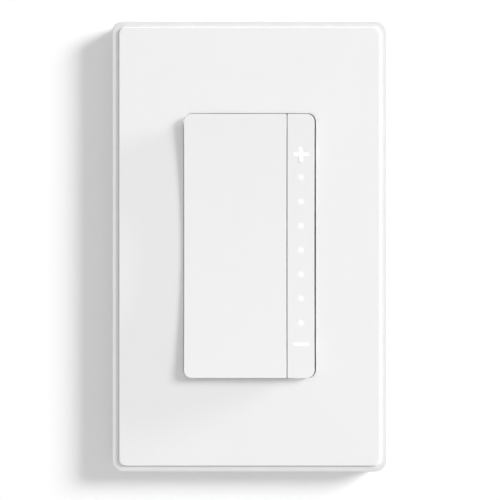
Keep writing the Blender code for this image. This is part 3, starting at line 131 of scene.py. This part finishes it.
# Marks on the bar: a plus, a row of dots and a minus.
MARK_X = 0.013
MARK_PITCH = 0.00613
MARK_CENTRE_Z = -0.0009
DOT_COUNT = 7
DOT_RADIUS = 0.00047
DOT_GLOW = 0.16
DOT_GLOW_RADIUS = 0.00105
GUIDE_GLOW = 0.15
MARK_LENGTH = 0.00395
MARK_STROKE = 0.00101
MINUS_STROKE = 0.00088
MARK_CORNER = 0.0003
PLUS_Z = MARK_CENTRE_Z + 0.0242
MINUS_Z = MARK_CENTRE_Z - 0.0238
MARK_GAP = 0.00001
MARK_PROUD = 0.00004
MARK_HOLE_FRONT_Y = -0.012
MARK_HOLE_BACK_Y = -0.006

# Light guide behind the bar: a strip that carries the marks, and a post to each level LED.
STRIP_HALF_WIDTH = 0.00075
STRIP_FRONT_Y = -0.0056
STRIP_BACK_Y = -0.0046
MARK_ROOT_Y = -0.0052
POST_RADIUS = 0.0006
POST_FRONT_Y = -0.005

# Screw threads: node, head depth and shank radius.
THREADED_SCREWS = (
    ("wall_plate_screw_top", 0.0017, 0.0016),
    ("wall_plate_screw_bottom", 0.0017, 0.0016),
    ("box_screw_top", 0.002, 0.0017),
    ("box_screw_bottom", 0.002, 0.0017),
)
THREAD_PITCH = 0.0008
THREAD_DEPTH = 0.0003
THREAD_SIDES = 20
THREAD_STEPS = 6
THREAD_TIP = 0.0006
THREAD_ROOT = 0.0003
SHANK_MARGIN = 0.0001

# Meshes: steps of a round corner and edge, the smallest radius, tolerances, and shading of new pieces.
CORNER_STEPS = 10
ROUNDING_STEPS = 5
DISC_SIDES = 32
SMALLEST_CORNER = 0.00001
WELD_DISTANCE = 1e-8
CUT_TOLERANCE = 1e-7
SHARP_ANGLE = 32.0
FACE_AREA_WEIGHT = 100

# Grain of every look: noise detail, how much broader the colour's grain is, and the part of the
# noise's span over which the colour and the roughness change.
FINE_DETAIL = 3.0
BROAD_DETAIL = 2.0
BROADER = 25
COLOUR_SPAN = (0.35, 0.65)
ROUGHNESS_SPAN = (0.3, 0.7)
WHITE = (1.0, 1.0, 1.0, 1.0)

# Look of each material slot: colour, second colour, lowest and highest roughness, metallic,
# grain per metre, bump height in metres, and how much the grain is drawn out along each axis.
SAME = (1.0, 1.0, 1.0)
SLOT_LOOKS = {
    "plate_white": ((0.86, 0.86, 0.86), (0.856, 0.856, 0.856), 0.42, 0.48, 0.0, 2500, 0.000002, SAME),
    # The insert's white is lighter than the plate's as painted light, standing in for the grazing light
    # that reaches only the cover.
    "insert_white": ((0.93, 0.93, 0.93), (0.926, 0.926, 0.926), 0.4, 0.46, 0.0, 2500, 0.000002, SAME),
    "light_guide_milky": ((0.97, 0.97, 0.97), (0.94, 0.94, 0.94), 0.25, 0.3, 0.0, 2000, 0.000001, SAME),
    "frame_white": ((0.78, 0.78, 0.78), (0.74, 0.74, 0.74), 0.45, 0.55, 0.0, 2500, 0.000004, SAME),
    "housing_grey": ((0.115, 0.115, 0.124), (0.105, 0.105, 0.114), 0.5, 0.62, 0.0, 6000, 0.00002, SAME),
    "component_black": ((0.025, 0.025, 0.026), (0.018, 0.018, 0.018), 0.4, 0.55, 0.0, 3500, 0.00001, SAME),
    "zinc_steel": ((0.74, 0.75, 0.77), (0.62, 0.63, 0.66), 0.26, 0.42, 1.0, 700, 0.000004, (1.0, 1.0, 8.0)),
    "aluminium": ((0.8, 0.81, 0.82), (0.7, 0.71, 0.73), 0.3, 0.45, 1.0, 900, 0.000004, (1.0, 1.0, 12.0)),
    "brass": ((0.83, 0.64, 0.3), (0.7, 0.5, 0.2), 0.25, 0.42, 1.0, 900, 0.000004, SAME),
    "ground_green": ((0.04, 0.36, 0.1), (0.02, 0.24, 0.06), 0.3, 0.45, 0.6, 900, 0.000004, SAME),
    "board_green": ((0.02, 0.2, 0.08), (0.012, 0.13, 0.05), 0.3, 0.5, 0.0, 1200, 0.000006, SAME),
    "fibre_red": ((0.47, 0.12, 0.07), (0.33, 0.07, 0.04), 0.65, 0.8, 0.0, 2500, 0.00002, (1.0, 1.0, 4.0)),
    "pad_grey": ((0.55, 0.57, 0.6), (0.45, 0.47, 0.5), 0.6, 0.75, 0.0, 2500, 0.00001, SAME),
    "ferrite_tape": ((0.68, 0.57, 0.14), (0.55, 0.44, 0.08), 0.35, 0.5, 0.0, 500, 0.00001, (1.0, 6.0, 1.0)),
    "enamelled_copper": (
        (0.76, 0.34, 0.13), (0.6, 0.22, 0.07), 0.25, 0.4, 0.8, 1500, 0.00003, (1.0, 0.2, 1.0)
    ),
    "film_yellow": ((0.78, 0.62, 0.16), (0.68, 0.52, 0.1), 0.35, 0.5, 0.0, 1500, 0.000006, SAME),
    "sleeve_blue": ((0.03, 0.07, 0.24), (0.02, 0.05, 0.17), 0.3, 0.42, 0.0, 900, 0.000006, SAME),
    "varistor_blue": ((0.05, 0.14, 0.45), (0.03, 0.09, 0.33), 0.35, 0.5, 0.0, 1500, 0.00001, SAME),
    "led_yellow": ((0.92, 0.86, 0.52), (0.85, 0.76, 0.38), 0.2, 0.32, 0.0, 2000, 0.000002, SAME),
}
# The plate frame gets a darker copy of the cover's plastic, as painted shade on the rim and its ledges.
RIM_COLOURS_WITH_PAINTED_SHADE = ((0.82, 0.82, 0.82), (0.815, 0.815, 0.815))
# Looks of the stage, in the same order of values.
WALL_LOOK = ((0.94, 0.94, 0.94), (0.935, 0.935, 0.935), 0.85, 0.95, 0.0, 800, 0.000002, SAME)
FLOOR_LOOK = ((0.8, 0.8, 0.8), (0.785, 0.785, 0.785), 0.8, 0.9, 0.0, 300, 0.00002, SAME)


def noise(nodes, links, coordinates, scale, detail):
    """Noise texture over object coordinates."""
    texture = nodes.new("ShaderNodeTexNoise")
    texture.inputs["Scale"].default_value = scale
    texture.inputs["Detail"].default_value = detail
    links.new(coordinates, texture.inputs["Vector"])
    return texture.outputs["Fac"]


def mapped(nodes, links, value, from_span, to_span, interpolation="LINEAR"):
    """Output of a Map Range node. Each span is (low, high)."""
    change = nodes.new("ShaderNodeMapRange")
    change.interpolation_type = interpolation
    change.inputs["From Min"].default_value = from_span[0]
    change.inputs["From Max"].default_value = from_span[1]
    change.inputs["To Min"].default_value = to_span[0]
    change.inputs["To Max"].default_value = to_span[1]
    links.new(value, change.inputs["Value"])
    return change.outputs["Result"]


def calculated(nodes, links, operation, *values):
    """Output of a Math node. Each value is a number or another node's output."""
    step = nodes.new("ShaderNodeMath")
    step.operation = operation
    for index, value in enumerate(values):
        if isinstance(value, float):
            step.inputs[index].default_value = value
        else:
            links.new(value, step.inputs[index])
    return step.outputs["Value"]


def make_look(name, colour, second, low_rough, high_rough, metallic, grain, bump_height, stretch):
    """Procedural material: grain in the colour and the roughness, and a fine moulded or drawn surface."""
    look = bpy.data.materials.new("look_" + name)
    look.use_nodes = True
    nodes = look.node_tree.nodes
    links = look.node_tree.links
    shader = nodes["Principled BSDF"]
    shader.inputs["Metallic"].default_value = metallic
    place = nodes.new("ShaderNodeTexCoord")
    mapping = nodes.new("ShaderNodeMapping")
    mapping.inputs["Scale"].default_value = tuple(1.0 / factor for factor in stretch)
    links.new(place.outputs["Object"], mapping.inputs["Vector"])
    fine = noise(nodes, links, mapping.outputs["Vector"], grain, FINE_DETAIL)
    broad = noise(nodes, links, place.outputs["Object"], grain / BROADER, BROAD_DETAIL)
    ramp = nodes.new("ShaderNodeValToRGB")
    ramp.color_ramp.elements[0].position = COLOUR_SPAN[0]
    ramp.color_ramp.elements[0].color = (*second, 1.0)
    ramp.color_ramp.elements[1].position = COLOUR_SPAN[1]
    ramp.color_ramp.elements[1].color = (*colour, 1.0)
    links.new(broad, ramp.inputs["Fac"])
    links.new(ramp.outputs["Color"], shader.inputs["Base Color"])
    rough = mapped(nodes, links, fine, ROUGHNESS_SPAN, (low_rough, high_rough))
    links.new(rough, shader.inputs["Roughness"])
    bump = nodes.new("ShaderNodeBump")
    bump.inputs["Distance"].default_value = bump_height
    links.new(fine, bump.inputs["Height"])
    links.new(bump.outputs["Normal"], shader.inputs["Normal"])
    return look


def light_up(look, strength):
    """Adds an even white glow to a look."""
    shader = look.node_tree.nodes["Principled BSDF"]
    shader.inputs["Emission Color"].default_value = WHITE
    shader.inputs["Emission Strength"].default_value = strength


def outline(width, height, corner, centre=(0.0, 0.0)):
    """Points (x, z) of a rounded rectangle. corner is one radius, or four from the lower left round."""
    radii = corner if isinstance(corner, tuple) else (corner,) * 4
    signs = ((-1, -1), (1, -1), (1, 1), (-1, 1))
    points = []
    for index, (sign_x, sign_z) in enumerate(signs):
        radius = max(radii[index], SMALLEST_CORNER)
        middle_x = centre[0] + sign_x * (width / 2 - radius)
        middle_z = centre[1] + sign_z * (height / 2 - radius)
        for step in range(CORNER_STEPS + 1):
            angle = math.pi + (index + step / CORNER_STEPS) * math.pi / 2
            points.append((middle_x + radius * math.cos(angle), middle_z + radius * math.sin(angle)))
    return points


def ring(width, height, corner, y, centre=(0.0, 0.0)):
    """Rounded rectangle in the plane y."""
    return [(x, y, z) for x, z in outline(width, height, corner, centre)]


def inset_ring(size, inset, y, centre=(0.0, 0.0)):
    """Ring of a (width, height, corner) outline moved inwards by inset, or outwards if it is negative."""
    width, height, corner = size
    if isinstance(corner, tuple):
        corner = tuple(radius - inset for radius in corner)
    else:
        corner = corner - inset
    return ring(width - 2 * inset, height - 2 * inset, corner, y, centre)


def lofted(rings, closed):
    """Mesh through rings with equal point counts. A closed one joins its last ring to its first."""
    shape = bmesh.new()
    corners = [[shape.verts.new(point) for point in points] for points in rings]
    pairs = list(zip(corners, corners[1:]))
    if closed:
        pairs.append((corners[-1], corners[0]))
    count = len(corners[0])
    for first, second in pairs:
        for index in range(count):
            following = (index + 1) % count
            shape.faces.new((first[index], first[following], second[following], second[index]))
    if not closed:
        shape.faces.new(corners[0])
        shape.faces.new(corners[-1])
    bmesh.ops.remove_doubles(shape, verts=shape.verts, dist=WELD_DISTANCE)
    bmesh.ops.recalc_face_normals(shape, faces=shape.faces)
    return shape


def rounding(inset, y, radius):
    """Insets and depths of a quarter round from a side wall at inset to a front at y."""
    pairs = []
    for step in range(ROUNDING_STEPS + 1):
        angle = step / ROUNDING_STEPS * math.pi / 2
        pairs.append((inset + radius * (1 - math.cos(angle)), y + radius * (1 - math.sin(angle))))
    return pairs


def new_object(name, shape):
    """Object from a bmesh, which is freed."""
    bmesh.ops.recalc_face_normals(shape, faces=shape.faces)
    mesh = bpy.data.meshes.new(name)
    shape.to_mesh(mesh)
    shape.free()
    made = bpy.data.objects.new(name, mesh)
    bpy.context.scene.collection.objects.link(made)
    return made


def boolean(target, tool, operation):
    """Applies an exact Boolean and removes the tool."""
    modifier = target.modifiers.new("shape", "BOOLEAN")
    modifier.operation = operation
    modifier.solver = "EXACT"
    modifier.object = tool
    depsgraph = bpy.context.evaluated_depsgraph_get()
    shaped = bpy.data.meshes.new_from_object(target.evaluated_get(depsgraph))
    target.modifiers.clear()
    target.data = shaped
    bpy.data.objects.remove(tool, do_unlink=True)


def rectangle(low, high):
    """Corner points (x, z) of the rectangle between two corners (x, z)."""
    return [low, (high[0], low[1]), high, (low[0], high[1])]


def drawn_out(points, front_y, back_y):
    """Closed mesh drawn out along Y from an outline of (x, z) points."""
    rings = [[(x, y, z) for x, z in points] for y in (front_y, back_y)]
    return lofted(rings, False)


def block(low, high, front_y, back_y):
    """Box object. low and high are opposite corners (x, z)."""
    return new_object("tool", drawn_out(rectangle(low, high), front_y, back_y))


def disc_block(x, z, radius, front_y, back_y):
    """Cylinder object along Y."""
    points = []
    for side in range(DISC_SIDES):
        angle = 2 * math.pi * side / DISC_SIDES
        points.append((x + radius * math.cos(angle), z + radius * math.sin(angle)))
    return new_object("tool", drawn_out(points, front_y, back_y))


def rounded_block(width, height, corner, centre, front_y, back_y):
    """Rounded rectangle drawn out along Y."""
    return new_object("tool", drawn_out(outline(width, height, corner, centre), front_y, back_y))


def finish_piece(piece, slot, body, nodes):
    """Material, shading, body and replaced nodes of a new piece."""
    piece.data.materials.clear()
    piece.data.materials.append(looks[slot])
    piece.data.shade_smooth()
    piece.data.set_sharp_from_angle(angle=math.radians(SHARP_ANGLE))
    weighted = piece.modifiers.new("normals", "WEIGHTED_NORMAL")
    weighted.keep_sharp = True
    weighted.weight = FACE_AREA_WEIGHT
    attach(piece, body)
    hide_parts(*nodes)


def insert_front(z):
    """Depth of the concave front of the paddle and the bar."""
    return INSERT_MIDDLE_Y - INSERT_RISE * (z / INSERT_TOP_Z) ** 2


def strip_and_bend(shape):
    """Cuts a flat shape into level strips, then lays it along the concave front."""
    for step in range(1, INSERT_STRIPS):
        z = INSERT_BOTTOM_Z + (INSERT_TOP_Z - INSERT_BOTTOM_Z) * step / INSERT_STRIPS
        cut = {"plane_co": (0, 0, z), "plane_no": (0, 0, 1), "dist": CUT_TOLERANCE}
        bmesh.ops.bisect_plane(shape, geom=shape.verts[:] + shape.edges[:] + shape.faces[:], **cut)
    for corner in shape.verts:
        corner.co.y += insert_front(corner.co.z)
    return shape


def make_cover():
    """Snap-on face with slightly slanted sides, an opening with a collar round it, and a skirt."""
    low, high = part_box("wall_plate_cover")
    back_y = high.y
    front_y = low.y
    size = (2 * COVER_HALF_WIDTH, high.z - low.z, COVER_CORNER)
    lip_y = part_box("wall_plate_frame")[0].y - SEAM_GAP
    tuck = SEAM_OVERLAP + SEAM_CLEARANCE
    rings = [inset_ring(size, tuck, back_y), inset_ring(size, tuck, lip_y)]
    rings.append(inset_ring(size, 0.0, lip_y))
    for inset, y in rounding(COVER_DRAFT, front_y, COVER_EDGE):
        rings.append(inset_ring(size, inset, y))
    rings.append(inset_ring(size, COVER_EDGE_BAND, front_y))
    rings.append(inset_ring(COVER_OPENING, -OPENING_BAND, front_y, OPENING_CENTRE))
    for inset, y in reversed(rounding(0.0, front_y, OPENING_ROUNDING)):
        rings.append(inset_ring(COVER_OPENING, -inset, y, OPENING_CENTRE))
    rings.append(inset_ring(COVER_OPENING, 0.0, back_y, OPENING_CENTRE))
    rings.append(inset_ring(COVER_OPENING, -COVER_SKIRT, back_y, OPENING_CENTRE))
    rings.append(inset_ring(COVER_OPENING, -COVER_SKIRT, COVER_UNDER_Y, OPENING_CENTRE))
    rings.append(inset_ring(size, COVER_SKIRT, COVER_UNDER_Y))
    rings.append(inset_ring(size, COVER_SKIRT, back_y))
    cover = new_object("plate_cover_face", lofted(rings, True))
    finish_piece(cover, "plate_white", "base", ["wall_plate_cover"])


def make_rim():
    """Outer frame: a flat rim with a small round edge, a lip at the seam, and the web with its holes."""
    low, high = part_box("wall_plate_frame")
    size = (high.x - low.x, high.z - low.z, PLATE_CORNER)
    front_y = low.y
    rings = [inset_ring(size, RIM_BACK_EDGE, high.y), inset_ring(size, 0.0, high.y - RIM_BACK_EDGE)]
    for inset, y in rounding(0.0, front_y, RIM_ROUNDING):
        rings.append(inset_ring(size, inset, y))
    cover_low, cover_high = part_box("wall_plate_cover")
    cover_size = (2 * COVER_HALF_WIDTH, cover_high.z - cover_low.z, COVER_CORNER)
    groove_width, groove_depth = SEAM_GROOVE
    rings.append(inset_ring(cover_size, SEAM_OVERLAP - groove_width, front_y))
    rings.append(inset_ring(cover_size, SEAM_OVERLAP, front_y + groove_depth))
    rings.append(inset_ring(cover_size, SEAM_OVERLAP, front_y + LIP_THICKNESS))
    rings.append(inset_ring(size, RIM_WALL, front_y + LIP_THICKNESS + LIP_SLOPE))
    rings.append(inset_ring(size, RIM_WALL, WEB_FRONT_Y))
    rings.append(inset_ring(WEB_OPENING, 0.0, WEB_FRONT_Y))
    rings.append(inset_ring(WEB_OPENING, 0.0, WEB_BACK_Y))
    rings.append(inset_ring(size, RIM_WALL, WEB_BACK_Y))
    rings.append(inset_ring(size, RIM_WALL, high.y))
    rim = new_object("plate_frame_rim", lofted(rings, True))
    drill_front_y = WEB_FRONT_Y - TOOL_OVERRUN
    drill_back_y = WEB_BACK_Y + TOOL_OVERRUN
    for side in (-1, 1):
        for z, radius in ((PLATE_SCREW_Z, PLATE_SCREW_HOLE), (BOX_SCREW_Z, BOX_SCREW_HOLE)):
            boolean(rim, disc_block(0.0, side * z, radius, drill_front_y, drill_back_y), "DIFFERENCE")
    finish_piece(rim, "plate_white", "base", ["wall_plate_frame"])
    surface = SLOT_LOOKS["plate_white"][2:]
    # A darker copy of the plate's look: painted shade on the rim and its ledges.
    rim.data.materials[0] = make_look("plate_frame_white_with_painted_shade", *RIM_COLOURS_WITH_PAINTED_SHADE, *surface)


def make_skin(name, left_x, right_x, corners):
    """Concave cap with rounded edges, INSERT_SKIN thick."""
    centre = ((left_x + right_x) / 2, (INSERT_BOTTOM_Z + INSERT_TOP_Z) / 2)
    size = (right_x - left_x, INSERT_TOP_Z - INSERT_BOTTOM_Z, corners)
    rings = [inset_ring(size, 0.0, INSERT_SKIN, centre)]
    for inset, y in rounding(0.0, 0.0, INSERT_EDGE):
        rings.append(inset_ring(size, inset, y, centre))
    return new_object(name, strip_and_bend(lofted(rings, False)))


def join_back(skin, node, left_x, right_x):
    """Joins to a skin what the CAD node has behind it."""
    low = (left_x + BACK_MARGIN, INSERT_BOTTOM_Z + BACK_MARGIN)
    high = (right_x - BACK_MARGIN, INSERT_TOP_Z - BACK_MARGIN)
    space = drawn_out(rectangle(low, high), INSERT_SKIN / 2, BACK_END_Y)
    behind = new_object("tool", strip_and_bend(space))
    back = bpy.data.objects.new("tool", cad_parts[node].data.copy())
    bpy.context.scene.collection.objects.link(back)
    boolean(back, behind, "INTERSECT")
    boolean(skin, back, "UNION")


def dot_heights():
    """Heights of the dots, from the top."""
    first = MARK_CENTRE_Z + MARK_PITCH * (DOT_COUNT - 1) / 2
    return [first - MARK_PITCH * index for index in range(DOT_COUNT)]


def mark_tools(grow, front, back_y):
    """Objects of the plus, the minus and the dots, grown all round. front gives each front's y from z."""
    strokes = (
        (PLUS_Z, MARK_LENGTH, MARK_STROKE),
        (PLUS_Z, MARK_STROKE, MARK_LENGTH),
        (MINUS_Z, MARK_LENGTH, MINUS_STROKE),
    )
    for z, width, height in strokes:
        size = (width + 2 * grow, height + 2 * grow)
        yield rounded_block(*size, MARK_CORNER + grow, (MARK_X, z), front(z), back_y)
    for z in dot_heights():
        yield disc_block(MARK_X, z, DOT_RADIUS + grow, front(z), back_y)


def glowing_look():
    """The insert's look with a soft glow round each dot, where light seeps through the bar."""
    look = looks["insert_white"].copy()
    look.name = "look_bar_with_glow"
    nodes = look.node_tree.nodes
    links = look.node_tree.links
    place = nodes.new("ShaderNodeTexCoord")
    split = nodes.new("ShaderNodeSeparateXYZ")
    links.new(place.outputs["Object"], split.inputs["Vector"])
    along = calculated(nodes, links, "SUBTRACT", split.outputs["Z"], MARK_CENTRE_Z)
    nearest = calculated(nodes, links, "WRAP", along, MARK_PITCH / 2, -MARK_PITCH / 2)
    across = calculated(nodes, links, "SUBTRACT", split.outputs["X"], MARK_X)
    joined = nodes.new("ShaderNodeCombineXYZ")
    links.new(across, joined.inputs["X"])
    links.new(nearest, joined.inputs["Z"])
    distance = nodes.new("ShaderNodeVectorMath")
    distance.operation = "LENGTH"
    links.new(joined.outputs["Vector"], distance.inputs[0])
    reach = (DOT_RADIUS / 2, DOT_GLOW_RADIUS)
    glow = mapped(nodes, links, distance.outputs["Value"], reach, (DOT_GLOW, 0.0), "SMOOTHSTEP")
    in_the_row = calculated(nodes, links, "COMPARE", along, 0.0, MARK_PITCH * DOT_COUNT / 2)
    shown = calculated(nodes, links, "MULTIPLY", glow, in_the_row)
    shader = nodes["Principled BSDF"]
    shader.inputs["Emission Color"].default_value = WHITE
    links.new(shown, shader.inputs["Emission Strength"])
    return look


def make_paddle():
    """Concave paddle with the CAD paddle's inner side."""
    corners = (INSERT_CORNER, DIVIDER_CORNER, DIVIDER_CORNER, INSERT_CORNER)
    paddle = make_skin("paddle_cap", INSERT_LEFT_X, DIVIDER_LEFT_X, corners)
    join_back(paddle, "on_off_paddle", INSERT_LEFT_X, DIVIDER_LEFT_X)
    finish_piece(paddle, "insert_white", "paddle", ["on_off_paddle"])


def make_bar():
    """Concave bar with openings for the marks and the CAD bar's inner side."""
    corners = (DIVIDER_CORNER, INSERT_CORNER, INSERT_CORNER, DIVIDER_CORNER)
    bar = make_skin("dimmer_bar_cap", DIVIDER_RIGHT_X, INSERT_RIGHT_X, corners)
    for tool in mark_tools(MARK_GAP, lambda z: MARK_HOLE_FRONT_Y, MARK_HOLE_BACK_Y):
        boolean(bar, tool, "DIFFERENCE")
    join_back(bar, "dimmer_bar", DIVIDER_RIGHT_X, INSERT_RIGHT_X)
    finish_piece(bar, "insert_white", "bar", ["dimmer_bar"])
    bar.data.materials[0] = glowing_look()


def make_light_guide():
    """Strip behind the bar with the marks in front of it and a post to each level LED."""
    low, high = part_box("bar_light_guide")
    strip_low = (MARK_X - STRIP_HALF_WIDTH, low.z)
    strip_high = (MARK_X + STRIP_HALF_WIDTH, high.z)
    guide = block(strip_low, strip_high, STRIP_FRONT_Y, STRIP_BACK_Y)
    guide.name = "bar_marks_light_guide"
    for tool in mark_tools(0.0, lambda z: insert_front(z) - MARK_PROUD, MARK_ROOT_Y):
        boolean(guide, tool, "UNION")
    for z in dot_heights():
        boolean(guide, disc_block(MARK_X, z, POST_RADIUS, POST_FRONT_Y, high.y), "UNION")
    finish_piece(guide, "light_guide_milky", "bar", ["bar_light_guide"])


def threaded_shank(radius, start_y, end_y, z):
    """Rod along Y with a helical thread and a short cone at its far end."""
    count = round((end_y - start_y) / THREAD_PITCH * THREAD_STEPS)
    rings = []
    for step in range(count + 1):
        y = start_y + (end_y - start_y) * step / count
        widest = radius - max(0.0, y - (end_y - THREAD_TIP))
        points = []
        for side in range(THREAD_SIDES):
            angle = 2 * math.pi * side / THREAD_SIDES
            phase = ((y - start_y) / THREAD_PITCH - side / THREAD_SIDES) % 1.0
            reach = min(widest, radius - THREAD_DEPTH * (1 - abs(2 * phase - 1)))
            points.append((reach * math.cos(angle), y, z + reach * math.sin(angle)))
        rings.append(points)
    return new_object("tool", lofted(rings, False))


def make_threaded_screws():
    """The CAD screws with threads in place of their plain shanks."""
    for name, head_depth, radius in THREADED_SCREWS:
        low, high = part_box(name)
        under_head_y = low.y + head_depth
        z = (low.z + high.z) / 2
        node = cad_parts[name]
        screw = bpy.data.objects.new(name + "_threaded", node.data.copy())
        screw.data.transform(node.matrix_world)
        bpy.context.scene.collection.objects.link(screw)
        plain_shank = disc_block(0.0, z, radius + SHANK_MARGIN, under_head_y, high.y + TOOL_OVERRUN)
        boolean(screw, plain_shank, "DIFFERENCE")
        boolean(screw, threaded_shank(radius, under_head_y - THREAD_ROOT, high.y, z), "UNION")
        finish_piece(screw, "zinc_steel", "base", [name])


def dress_kept_nodes():
    """Gives every CAD node that still shows its slot's look."""
    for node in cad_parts.values():
        if node.hide_render:
            continue
        for held in node.material_slots:
            slot = held.material.name
            held.link = "OBJECT"
            held.material = looks[slot]


def see_through_from_behind(look):
    """Makes the back of a look's faces clear."""
    nodes = look.node_tree.nodes
    links = look.node_tree.links
    geometry = nodes.new("ShaderNodeNewGeometry")
    clear = nodes.new("ShaderNodeBsdfTransparent")
    mix = nodes.new("ShaderNodeMixShader")
    links.new(geometry.outputs["Backfacing"], mix.inputs["Fac"])
    links.new(nodes["Principled BSDF"].outputs["BSDF"], mix.inputs[1])
    links.new(clear.outputs["BSDF"], mix.inputs[2])
    links.new(mix.outputs["Shader"], nodes["Material Output"].inputs["Surface"])


def make_wall():
    """Wall with an opening for the device. Only its room side shows."""
    width, height = WALL_HOLE
    inner = ring(width, height, PLATE_CORNER, WALL_GAP)
    outer = [(x * 2 * WALL_HALF / width, y, z * 2 * WALL_HALF / height) for x, y, z in inner]
    shape = bmesh.new()
    inner_points = [shape.verts.new(point) for point in inner]
    outer_points = [shape.verts.new((x, y, max(z, FLOOR_Z))) for x, y, z in outer]
    count = len(inner_points)
    for index in range(count):
        following = (index + 1) % count
        first_side = (inner_points[index], outer_points[index])
        second_side = (outer_points[following], inner_points[following])
        shape.faces.new(first_side + second_side)
    mesh = bpy.data.meshes.new("stage_wall")
    shape.to_mesh(mesh)
    shape.free()
    if mesh.polygons[0].normal.y > 0:
        mesh.flip_normals()
    wall = bpy.data.objects.new("stage_wall", mesh)
    bpy.context.scene.collection.objects.link(wall)
    wall_look = make_look("wall", *WALL_LOOK)
    see_through_from_behind(wall_look)
    mesh.materials.append(wall_look)
    return wall


def make_floor():
    """Level square floor."""
    low = (-FLOOR_HALF, -FLOOR_HALF)
    high = (FLOOR_HALF, FLOOR_HALF)
    points = [(x, y, FLOOR_Z) for x, y in rectangle(low, high)]
    mesh = bpy.data.meshes.new("stage_floor")
    mesh.from_pydata(points, [], [(0, 1, 2, 3)])
    mesh.materials.append(make_look("floor", *FLOOR_LOOK))
    floor = bpy.data.objects.new("stage_floor", mesh)
    bpy.context.scene.collection.objects.link(floor)
    return floor


def area_light(name, direction, watts, size):
    """Elliptical area light that faces the origin from LIGHT_DISTANCE away. size is (width, height)."""
    data = bpy.data.lights.new(name, "AREA")
    data.shape = "ELLIPSE"
    data.size, data.size_y = size
    data.energy = watts
    light = bpy.data.objects.new(name, data)
    light.location = Vector(direction).normalized() * LIGHT_DISTANCE
    light.rotation_mode = "QUATERNION"
    light.rotation_quaternion = Vector(direction).to_track_quat("Z", "Y")
    bpy.context.scene.collection.objects.link(light)
    return light


def group(name, *objects):
    """Collection of objects for light linking."""
    members = bpy.data.collections.new(name)
    for member in objects:
        members.objects.link(member)
    return members


def make_lights(wall, floor):
    """Lights that each reach only the device, the wall, the cover or the floor."""
    device = group("device", *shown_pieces())
    key = area_light("key", KEY_DIRECTION, KEY_WATTS, KEY_SIZE)
    key.light_linking.receiver_collection = device
    key.light_linking.blocker_collection = device
    wall_key = area_light("wall_key", KEY_DIRECTION, WALL_WATTS, KEY_SIZE)
    wall_key.light_linking.receiver_collection = group("wall", wall)
    wall_key.light_linking.blocker_collection = device
    graze = area_light("graze", GRAZE_DIRECTION, GRAZE_WATTS, GRAZE_SIZE)
    graze.light_linking.receiver_collection = group("cover", bpy.data.objects["plate_cover_face"])
    rear = area_light("rear", REAR_DIRECTION, REAR_WATTS, REAR_SIZE)
    rear.light_linking.receiver_collection = device
    sun = bpy.data.objects.new("floor_sun", bpy.data.lights.new("floor_sun", "SUN"))
    sun.data.energy = FLOOR_SUN
    bpy.context.scene.collection.objects.link(sun)
    sun.light_linking.receiver_collection = group("ground", floor)


def make_world():
    """Fill from all round, brighter on one side, and an even pale background."""
    world = bpy.data.worlds.new("studio")
    bpy.context.scene.world = world
    world.use_nodes = True
    nodes = world.node_tree.nodes
    links = world.node_tree.links
    fill = nodes["Background"]
    fill.inputs["Color"].default_value = WHITE
    place = nodes.new("ShaderNodeTexCoord")
    along = nodes.new("ShaderNodeVectorMath")
    along.operation = "DOT_PRODUCT"
    along.inputs[1].default_value = FILL_BRIGHTER_SIDE
    links.new(place.outputs["Generated"], along.inputs[0])
    strengths = (FILL * (1 - FILL_SLOPE), FILL * (1 + FILL_SLOPE))
    strength = mapped(nodes, links, along.outputs["Value"], (-1.0, 1.0), strengths)
    links.new(strength, fill.inputs["Strength"])
    seen = nodes.new("ShaderNodeBackground")
    seen.inputs["Strength"].default_value = BACKGROUND
    path = nodes.new("ShaderNodeLightPath")
    mix = nodes.new("ShaderNodeMixShader")
    links.new(path.outputs["Is Camera Ray"], mix.inputs["Fac"])
    links.new(fill.outputs["Background"], mix.inputs[1])
    links.new(seen.outputs["Background"], mix.inputs[2])
    links.new(mix.outputs["Shader"], nodes["World Output"].inputs["Surface"])


def make_camera():
    """Level camera in front of the plate."""
    plate_front_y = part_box("wall_plate_frame")[0].y
    data = bpy.data.cameras.new("camera")
    data.sensor_width = SENSOR
    data.lens = SENSOR * CAMERA_DISTANCE / FRAMED_WIDTH
    data.clip_start = CAMERA_NEAREST
    camera = bpy.data.objects.new("camera", data)
    widest_y = plate_front_y + RIM_ROUNDING
    camera.location = (CAMERA_RIGHT, widest_y - CAMERA_DISTANCE, -CAMERA_DOWN)
    camera.rotation_euler = (math.pi / 2, 0.0, 0.0)
    bpy.context.scene.collection.objects.link(camera)
    bpy.context.scene.camera = camera


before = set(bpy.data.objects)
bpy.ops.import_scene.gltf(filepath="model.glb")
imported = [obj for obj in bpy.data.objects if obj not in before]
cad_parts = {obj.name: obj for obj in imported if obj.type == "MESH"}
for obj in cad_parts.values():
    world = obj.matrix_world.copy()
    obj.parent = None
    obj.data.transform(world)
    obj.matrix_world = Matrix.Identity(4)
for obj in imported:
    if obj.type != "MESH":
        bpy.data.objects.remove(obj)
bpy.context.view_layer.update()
INSERT_MIDDLE_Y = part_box("on_off_paddle")[0].y + INSERT_RISE
looks = {slot: make_look(slot, *values) for slot, values in SLOT_LOOKS.items()}
light_up(looks["light_guide_milky"], GUIDE_GLOW)
make_cover()
make_rim()
make_paddle()
make_bar()
make_light_guide()
make_threaded_screws()
dress_kept_nodes()
stage_wall = make_wall()
stage_floor = make_floor()
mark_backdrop(stage_wall, stage_floor)
make_lights(stage_wall, stage_floor)
make_world()
make_camera()
bpy.context.scene.view_settings.view_transform = "Standard"
